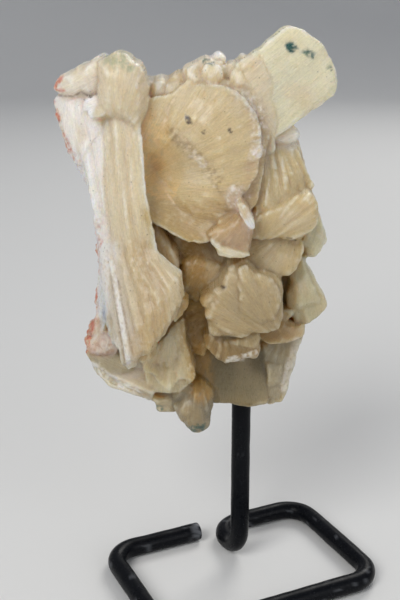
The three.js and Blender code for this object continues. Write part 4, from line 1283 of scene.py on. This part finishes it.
# A shader's nodes are added by type and wired by the names of their sockets
def addNode(tree, kind, settings=None, **inputs):
    node = tree.nodes.new(kind)
    for name, value in (settings or {}).items():
        setattr(node, name, value)
    for name, value in inputs.items():
        socket = node.inputs[int(name[2:]) if name.startswith("at") else name.replace("_", " ")]
        if isinstance(value, bpy.types.NodeSocket):
            tree.links.new(value, socket)
        else:
            socket.default_value = value
    return node


def makeStilbite():
    material = bpy.data.materials.new("stilbite")
    material.use_nodes = True
    tree = material.node_tree
    shader = tree.nodes["Principled BSDF"]
    tint = addNode(tree, "ShaderNodeAttribute", {"attribute_name": "tint"}).outputs["Color"]
    grain = addNode(tree, "ShaderNodeAttribute", {"attribute_name": "grain"}).outputs["Vector"]
    place = addNode(tree, "ShaderNodeTexCoord").outputs["Object"]
    def stretched(stretch):
        scale = (1.0, stilbite[stretch], stilbite["crystalShift"])
        return addNode(tree, "ShaderNodeMapping", Vector=grain, Scale=scale).outputs[0]

    def ranged(value, low, high, ends):
        return addNode(tree, "ShaderNodeMapRange", Value=value, From_Min=low, From_Max=high, To_Min=ends[0],
                       To_Max=ends[1]).outputs[0]

    def multiplied(first, second):
        return addNode(tree, "ShaderNodeMath", {"operation": "MULTIPLY"}, at0=first, at1=second).outputs[0]

    def noise(vector, scale, detail):
        return addNode(tree, "ShaderNodeTexNoise", Vector=vector, Scale=stilbite[scale], Detail=detail,
                       Roughness=stilbite["noiseRoughness"]).outputs["Fac"]

    def cells(vector, scale, output="Distance"):
        return addNode(tree, "ShaderNodeTexVoronoi", Vector=vector, Scale=stilbite[scale]).outputs[output]

    fibre = noise(stretched("fibreStretch"), "fibreScale", 5.0)
    fine = noise(stretched("fineStretch"), "fineScale", 3.0)
    grit = noise(place, "gritScale", 4.0)
    cloud = addNode(tree, "ShaderNodeTexNoise", Vector=place, Scale=stilbite["cloudScale"], Detail=3.0)
    flakes = cells(place, "flakeScale")
    laths = cells(stretched("lathStretch"), "lathScale", "Color")
    pitDark = ranged(cells(place, "pitScale"), 0.05, 0.12, stilbite["pit"])
    noPits = ranged(cloud.outputs["Fac"], 0.46, 0.6, (1.0, 0.0))
    pitted = addNode(tree, "ShaderNodeMath", {"operation": "MAXIMUM"}, at0=pitDark, at1=noPits).outputs[0]
    streaks = ranged(fibre, 0.3, 0.7, stilbite["streaks"])
    speckle = ranged(grit, 0.35, 0.68, stilbite["speckle"])
    shade = multiplied(multiplied(streaks, speckle), pitted)
    colour = addNode(tree, "ShaderNodeVectorMath", {"operation": "SCALE"}, at0=tint, Scale=shade)
    tree.links.new(colour.outputs[0], shader.inputs["Base Color"])
    tree.links.new(ranged(fine, 0.3, 0.7, stilbite["roughness"]), shader.inputs["Roughness"])
    bump = None
    for height, strength, depth in (
        (fibre, "fibreBump", "fibreDepth"),
        (fine, "fibreBump", "lathDepth"),
        (grit, "grainBump", "grainDepth"),
        (flakes, "grainBump", "grainDepth"),
        (laths, "lathBump", "lathDepth"),
    ):
        below = {} if bump is None else {"Normal": bump}
        bump = addNode(tree, "ShaderNodeBump", Strength=stilbite[strength], Distance=stilbite[depth],
                       Height=height, **below).outputs[0]
    tree.links.new(bump, shader.inputs["Normal"])
    shader.inputs["Subsurface Weight"].default_value = stilbite["subsurface"]
    shader.inputs["Subsurface Radius"].default_value = stilbite["softRadius"]
    shader.inputs["Subsurface Scale"].default_value = stilbite["softScale"]
    shader.inputs["IOR"].default_value = stilbite["glassiness"]
    shader.inputs["Coat Weight"].default_value = stilbite["coat"]
    shader.inputs["Coat Roughness"].default_value = stilbite["coatRoughness"]
    return material


piece, tree, owners = buildSkin()
paintSkin(piece, tree, owners)
piece.data.transform(clusterToFrame)
piece.data.shade_smooth()
piece.data.materials.clear()
piece.data.materials.append(makeStilbite())
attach(piece, "root")
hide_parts("stilbite_cluster")


# The bent rod: its centreline as places and headings, from the free end round the foot and up the post
def rodRoute():
    radius, bend = stand["rodRadius"], stand["bendRadius"]
    right, front = stand["postFromRight"], -stand["postFromFront"]
    left, back = right - stand["footWidth"], front + stand["footDepth"]
    ways = ((-1, 0, 0), (0, -1, 0), (1, 0, 0), (0, 1, 0), (0, 0, 1))
    west, south, east, north, up = (Vector(way) for way in ways)
    corners = [
        ((left, back), west, south), ((left, front), south, east), ((right, front), east, north),
        ((right, back), north, west), ((0, back), west, south), ((0, 0), south, up),
    ]
    route = [(Vector((stand["freeEnd"], back, radius)), west)]

    def runTo(end, heading):
        start = route[-1][0]
        steps = max(1, round((end - start).length / stand["runStep"]))
        for step in range(1, steps + 1):
            route.append((start.lerp(end, step / steps), heading))

    for (x, y), before, after in corners:
        corner = Vector((x, y, radius))
        runTo(corner - before * bend, before)
        for step in range(1, stand["bendSteps"] + 1):
            angle = math.radians(90) * step / stand["bendSteps"]
            place = corner + before * (bend * (math.sin(angle) - 1)) + after * (bend * (1 - math.cos(angle)))
            route.append((place, before * math.cos(angle) + after * math.sin(angle)))
    runTo(Vector((0, 0, stand["postTop"])), up)
    return route


def buildStand():
    route = rodRoute()
    bm = bmesh.new()
    ring = bmesh.ops.create_circle(bm, segments=stand["sides"], radius=stand["rodRadius"])["verts"]
    place, heading = route[0]
    seat = Matrix.Translation(place) @ Vector((0, 0, 1)).rotation_difference(heading).to_matrix().to_4x4()
    bmesh.ops.transform(bm, matrix=seat, verts=ring)
    edges = bm.edges[:]
    for (place, heading), (nextPlace, nextHeading) in zip(route, route[1:]):
        grown = bmesh.ops.extrude_edge_only(bm, edges=edges)["geom"]
        verts = [part for part in grown if isinstance(part, bmesh.types.BMVert)]
        edges = [part for part in grown if isinstance(part, bmesh.types.BMEdge)]
        turn = heading.rotation_difference(nextHeading).to_matrix().to_4x4()
        move = Matrix.Translation(nextPlace) @ turn @ Matrix.Translation(-place)
        bmesh.ops.transform(bm, matrix=move, verts=verts)
    rims = [edge for edge in bm.edges if edge.is_boundary]
    caps = bmesh.ops.holes_fill(bm, edges=rims)["faces"]
    bmesh.ops.recalc_face_normals(bm, faces=bm.faces)
    rims = [edge for face in caps for edge in face.edges]
    bmesh.ops.bevel(bm, geom=rims, offset=stand["endChamfer"], segments=2, profile=0.5, material=-1,
                    affect="EDGES")
    bm.normal_update()
    points = np.array([vert.co for vert in bm.verts])
    wornEnd = 1 - smoothStep(*stand["wornReach"], np.linalg.norm(points - np.array(route[0][0]), axis=1))
    fromHook = np.linalg.norm(points - np.array(stand["hammeredAt"]), axis=1) / stand["hammeredReach"]
    hammered = 1 + stand["hammeredMore"] * np.exp(-(fromHook ** 2))
    dents = smoothStep(*stand["dentEdge"], layeredNoise(points, stand["dentSize"], seeds["dent"], 2))
    depth = stand["dent"] * hammered * dents
    for vert, inward in zip(bm.verts, depth):
        vert.co -= vert.normal * inward
    mesh = bpy.data.meshes.new("bent_rod")
    bm.to_mesh(mesh)
    bm.free()
    wear = mesh.attributes.new("wear", "FLOAT", "POINT")
    patches = layeredNoise(points, stand["wornSize"], seeds["wornEnd"], 2)
    spots = layeredNoise(points, stand["spotSize"], seeds["wornSpot"], 2)
    worn = wornEnd * smoothStep(*stand["wornEdge"], patches)
    worn = np.maximum(worn, smoothStep(*stand["spotEdge"], spots) * stand["spotShare"])
    wear.data.foreach_set("value", worn.astype(np.float32))
    mesh.transform(standToFrame)
    mesh.shade_smooth()
    piece = bpy.data.objects.new("bent_rod", mesh)
    bpy.context.collection.objects.link(piece)
    return piece


blackPaint = {
    "tint": (0.003, 0.0035, 0.005, 1),
    "wornTint": (0.2, 0.21, 0.23, 1),
    "roughness": (0.24, 0.4),
    "shine": 0.1,
    "peelScale": 420.0,
    "peelBump": 0.25,
    "peelDepth": 0.0002,
    "dustScale": 2600.0,
    "dustShare": 0.12,
}


def makeBlackPaint():
    material = bpy.data.materials.new("black_paint")
    material.use_nodes = True
    tree = material.node_tree
    shader = tree.nodes["Principled BSDF"]
    place = addNode(tree, "ShaderNodeTexCoord").outputs["Object"]
    wear = addNode(tree, "ShaderNodeAttribute", {"attribute_name": "wear"}).outputs["Fac"]
    peel = addNode(tree, "ShaderNodeTexNoise", Vector=place, Scale=blackPaint["peelScale"], Detail=3.0)
    dust = addNode(tree, "ShaderNodeTexNoise", Vector=place, Scale=blackPaint["dustScale"], Detail=3.0)
    flecks = addNode(tree, "ShaderNodeMapRange", Value=dust.outputs["Fac"], From_Min=0.62, From_Max=0.72)
    worn = addNode(tree, "ShaderNodeMath", {"operation": "MULTIPLY_ADD", "use_clamp": True},
                   at0=flecks.outputs[0], at1=blackPaint["dustShare"], at2=wear)
    colour = addNode(tree, "ShaderNodeMix", {"data_type": "RGBA"}, Factor=worn.outputs[0])
    colour.inputs[6].default_value = blackPaint["tint"]  # sockets 6 and 7 are the two colours of a Mix node
    colour.inputs[7].default_value = blackPaint["wornTint"]
    tree.links.new(colour.outputs[2], shader.inputs["Base Color"])
    rough = addNode(tree, "ShaderNodeMapRange", Value=peel.outputs["Fac"], From_Min=0.3, From_Max=0.7,
                    To_Min=blackPaint["roughness"][0], To_Max=blackPaint["roughness"][1])
    tree.links.new(rough.outputs[0], shader.inputs["Roughness"])
    bump = addNode(tree, "ShaderNodeBump", Strength=blackPaint["peelBump"], Distance=blackPaint["peelDepth"],
                   Height=peel.outputs["Fac"])
    tree.links.new(bump.outputs[0], shader.inputs["Normal"])
    shader.inputs["Specular IOR Level"].default_value = blackPaint["shine"]
    return material


rod = buildStand()
rod.data.materials.append(makeBlackPaint())
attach(rod, "root")
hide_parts("bent_rod_stand")
say("stand bent")

# A pale floor that sweeps up all round, and soft lights
studio = {
    "floorRadius": 2.4,
    "wallHeight": 1.2,
    "sweep": 0.8,
    "floorSides": 96,
    "sweepSteps": 24,
    "floorDrop": 0.0002,  # the floor lies this much under the foot
    "floorRoughness": 0.7,
    "floorTint": (0.7, 0.7, 0.69, 1),
    "skyTint": (0.86, 0.9, 1.0, 1),
    "skyStrength": 0.32,
    "lights": [  # name, place from the cluster in its own axes, size, watts, colour
        ("key", (-0.53, -0.8, 0.83), 0.68, 9.0, (1.0, 0.99, 0.97)),
        ("fill", (1.01, -1.1, 0.69), 1.2, 5.2, (0.98, 0.99, 1.0)),
        ("back", (0.51, 1.0, 1.09), 0.8, 8.4, (1.0, 0.98, 0.94)),
    ],
    "aim": (-0.012, 0, 0.11),
}


def buildStudio():
    bm = bmesh.new()
    bmesh.ops.create_circle(bm, cap_ends=True, segments=studio["floorSides"], radius=studio["floorRadius"])
    rim = bm.edges[:]
    grown = bmesh.ops.extrude_edge_only(bm, edges=rim)["geom"]
    risen = [part for part in grown if isinstance(part, bmesh.types.BMVert)]
    bmesh.ops.translate(bm, verts=risen, vec=(0, 0, studio["wallHeight"]))
    bmesh.ops.bevel(bm, geom=rim, offset=studio["sweep"], segments=studio["sweepSteps"], profile=0.5,
                    material=-1, affect="EDGES")
    bmesh.ops.translate(bm, verts=bm.verts, vec=(0, 0, -studio["floorDrop"]))
    mesh = bpy.data.meshes.new("pale_floor")
    bm.to_mesh(mesh)
    bm.free()
    mesh.shade_smooth()
    floor = bpy.data.objects.new("pale_floor", mesh)
    bpy.context.collection.objects.link(floor)
    material = bpy.data.materials.new("pale_floor")
    material.use_nodes = True
    shader = material.node_tree.nodes["Principled BSDF"]
    shader.inputs["Base Color"].default_value = studio["floorTint"]
    shader.inputs["Roughness"].default_value = studio["floorRoughness"]
    mesh.materials.append(material)
    world = bpy.data.worlds.new("soft_sky")
    world.use_nodes = True
    sky = world.node_tree.nodes["Background"]
    sky.inputs["Color"].default_value = studio["skyTint"]
    sky.inputs["Strength"].default_value = studio["skyStrength"]
    bpy.context.scene.world = world
    turn = Matrix.Rotation(stand["clusterTurn"], 3, "Z")
    for name, place, size, watts, colour in studio["lights"]:
        data = bpy.data.lights.new(name, "AREA")
        data.shape = "DISK"
        data.size = size
        data.energy = watts
        data.color = colour
        lamp = bpy.data.objects.new(name, data)
        bpy.context.collection.objects.link(lamp)
        lamp.location = turn @ Vector(place)
        heading = turn @ Vector(studio["aim"]) - lamp.location
        lamp.rotation_euler = heading.to_track_quat("-Z", "Y").to_euler()
    bpy.context.scene.view_settings.view_transform = "Standard"


buildStudio()
say("studio set")
